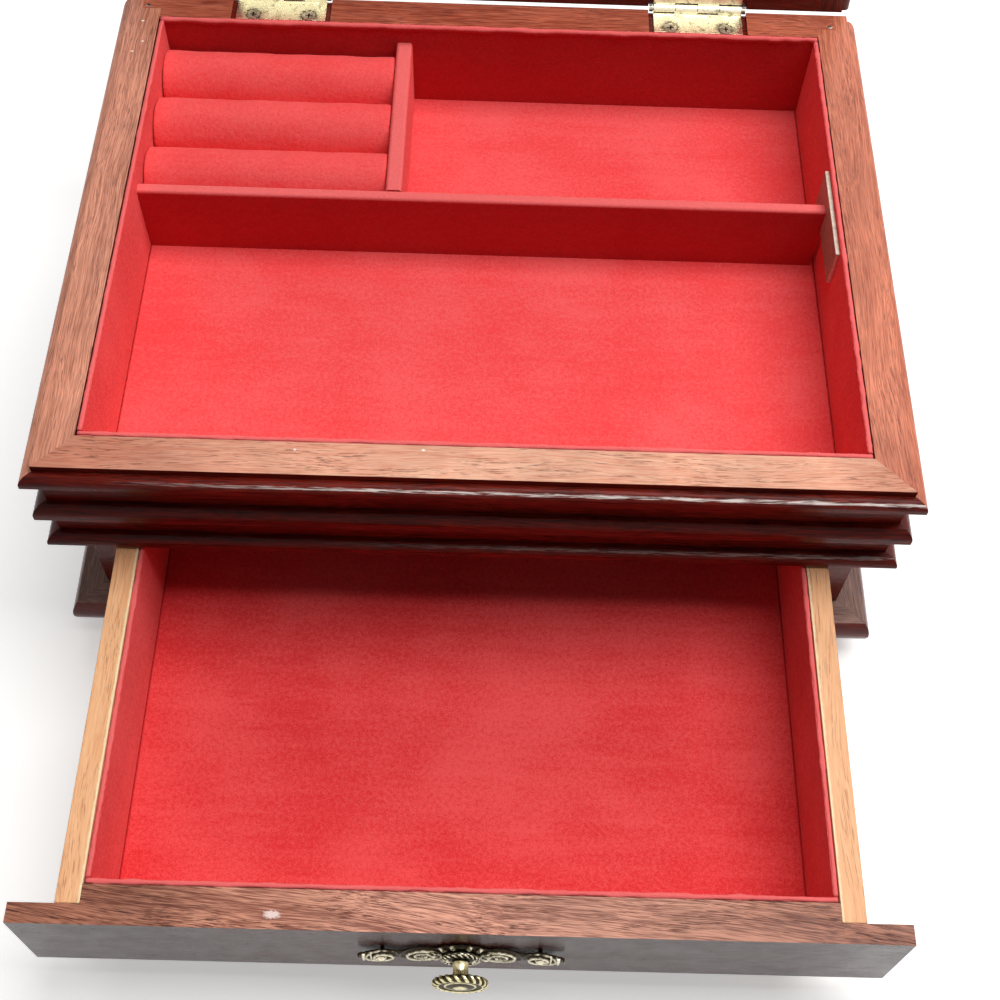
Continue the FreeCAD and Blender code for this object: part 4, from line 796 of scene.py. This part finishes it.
def old_brass(name, high, low):
    """Brass that is bright where the piece's own `polish` is 1, and dark and dull where it is 0."""
    material = bpy.data.materials.new(name)
    material.use_nodes = True
    tree = material.node_tree
    shade = tree.nodes["Principled BSDF"]
    coordinates = node(tree, "ShaderNodeTexCoord")
    polish = node(tree, "ShaderNodeAttribute", attribute_name="polish").outputs["Fac"]
    blotches = noise(tree, coordinates.outputs["Object"], 900.0, 3.0, 0.6)
    rub = sums(tree, "MULTIPLY_ADD", sums(tree, "SUBTRACT", blotches, 0.5), 0.9, polish)
    rub = between(tree, rub, 0.40, 0.95)
    tree.links.new(mixed(tree, rub, low, high), shade.inputs["Base Color"])
    tree.links.new(between(tree, rub, 0.0, 1.0, 0.50, 0.20), shade.inputs["Roughness"])
    shade.inputs["Metallic"].default_value = 1.0
    bump = node(tree, "ShaderNodeBump", {"Height": blotches, "Strength": 0.3, "Distance": 0.0001})
    tree.links.new(bump.outputs[0], shade.inputs["Normal"])
    return material


def on_face(across, rise, out):
    """Places millimetres across, up and out from the drawer's face at the middle of the pull."""
    return np.stack((across, -out, rise), axis=-1) * 0.001 + PULL


def plate_height(across):
    """Half the plate's height: the highest of its round lobes and its waist, closing at the tips. A
    fine wave nicks the outline between the scrolls."""
    lobes = [np.sqrt(np.clip(r ** 2 - (across - c) ** 2, 0, None)) for c, r in LOBES]
    bar = np.where(np.abs(across) < HALF_WIDE - 2.4, WAIST, 0.0)
    return np.maximum(np.max(lobes, axis=0), bar) * (0.965 + 0.035 * np.cos(2 * np.pi * across / 2.5))


def plate_points():
    """Loops along the plate, each a flattened oval that closes at the plate's edge. The front is
    pushed out by ridges: a spiral in each lobe, rays round the boss and bars at the tips. The polish
    follows the ridges. The tips bow outwards as the square of the distance from the middle."""
    stations, around = 300, 72
    across = np.sin(np.linspace(-np.pi / 2, np.pi / 2, stations))[:, None] * HALF_WIDE
    turn = np.linspace(0, 2 * np.pi, around, endpoint=False)[None, :]
    rise = plate_height(across) * np.sign(np.cos(turn)) * np.abs(np.cos(turn)) ** 0.7
    thick = np.sign(np.sin(turn)) * np.abs(np.sin(turn)) ** 0.45
    ridges = np.zeros_like(rise + thick)
    for centre, radius in LOBES[1:5]:
        far = np.hypot(across - centre, rise)
        angle = np.arctan2(rise, (across - centre) * np.sign(centre))
        spiral = (0.5 + 0.5 * np.cos(2 * np.pi * far / 2.3 - angle)) ** 1.6
        ridges = np.maximum(ridges, spiral * np.clip(1 - (far / (radius * 1.12)) ** 8, 0, 1))
    rays = (0.5 + 0.5 * np.cos(np.arctan2(rise, np.abs(across) + 1e-6) * 15)) ** 1.4
    ridges = np.maximum(ridges, rays * np.exp(-((np.hypot(across, rise) - 8.2) / 1.9) ** 2))
    ridges = np.maximum(ridges, (0.5 + 0.5 * np.cos(across * 2.6)) * (np.abs(across) > 26.5))
    front = 0.75 + 0.45 * np.clip(thick, 0, None) + 1.15 * ridges * np.clip(thick, 0, 1)
    out = np.where(thick > 0, front, 0.75 + 0.45 * thick) - 0.3 + BOW * (np.abs(across) / HALF_WIDE) ** 2
    return on_face(across + 0 * turn, rise, out), ridges * (thick > 0.05)


def lathe(profile, turns=96, rope=None):
    """Radius, height out from the face and polish, carried round the pull's axis. A rope adds a wave
    that slants across part of the profile: its strands, depth, and the share where it starts and
    stops; the polish follows its strands."""
    radius, out, polish = (np.array(column)[:, None] for column in zip(*profile))
    angle = np.linspace(0, 2 * np.pi, turns, endpoint=False)[None, :]
    radius, out, polish = radius + 0 * angle, out + 0 * angle, polish + 0 * angle
    if rope:
        strands, depth, start, stop = rope
        share = np.linspace(0, 1, len(profile))[:, None]
        inside = np.clip(np.minimum(share - start, stop - share) * 12, 0, 1)
        strand = np.cos(strands * angle + (share - start) / (stop - start) * 2 * np.pi * 1.1)
        radius = radius + depth * inside * strand
        out = out + 0.5 * depth * inside * strand * np.sign(share - (start + stop) / 2)
        polish = polish * (1 - inside) + inside * (0.5 + 0.75 * strand)
    return on_face(radius * np.cos(angle), radius * np.sin(angle), out), polish


def arc(centre, radius, start, stop, steps, polish=1.0):
    """Points of a circular arc in a lathe's profile, from one angle to another in degrees."""
    return [(centre[0] + radius * math.cos(a), centre[1] + radius * math.sin(a), polish)
            for a in np.radians(np.linspace(start, stop, steps))]


def brass_piece(name, shape, material, stands_for=()):
    """A piece of the pull, with its polish kept on its points."""
    points, polish = shape
    piece = new_piece(name, points, material, stands_for, "drawer")
    kept = piece.data.attributes.new("polish", "FLOAT", "POINT")
    kept.data.foreach_set("value", np.clip(polish, 0, 1).ravel())


plate_brass = old_brass("old brass", (0.86, 0.78, 0.58, 1), (0.036, 0.026, 0.017, 1))
knob_brass = old_brass("rubbed brass", (0.86, 0.76, 0.44, 1), (0.060, 0.045, 0.024, 1))
brass_piece("pull_plate", plate_points(), plate_brass, ("pull_backplate",))
boss = [(5.6, 1.2, 0.3), (5.6, 1.9, 0.6)] + arc((4.9, 2.3), 0.75, -20, 150, 14)
boss += [(3.6, 2.3, 0.1), (2.9, 2.9, 0.3), (0.01, 3.0, 0.3)]
brass_piece("pull_boss", lathe(boss, rope=(18, 0.25, 0.1, 0.75)), plate_brass)
knob = [(0.01, 2.9, 0.2), (2.7, 2.9, 0.2), (2.45, 3.5, 0.7), (2.3, 5.5, 1.0), (2.4, 7.4, 0.8),
        (3.3, 8.1, 0.1), (6.2, 8.35, 0.1)]
knob += arc((7.0, 9.4), 1.15, -95, 110, 22)
knob += [(6.2, 10.15, 0.1), (5.3, 9.95, 0.0), (4.6, 10.4, 1.0), (3.8, 10.3, 0.1), (2.6, 10.7, 0.3),
         (1.4, 10.94, 1.0), (0.01, 10.99, 0.8)]
brass_piece("pull_knob_turned", lathe(knob, 128, rope=(20, 0.30, 0.19, 0.78)), knob_brass, ("pull_knob",))
for count, offset in enumerate(TACKS):
    dome = [(0.62, 0.0, 0.1), (0.62, 2.4, 0.1), (1.25, 2.45, 0.2)] + arc((0.0, 2.1), 1.3, 18, 89, 8)
    points, polish = lathe(dome, 24)
    points = points + (offset * 0.001, 0.0, 0.0)
    brass_piece(f"pull_tack_{count + 1}", (points, polish), plate_brass, ("pull_tacks",))
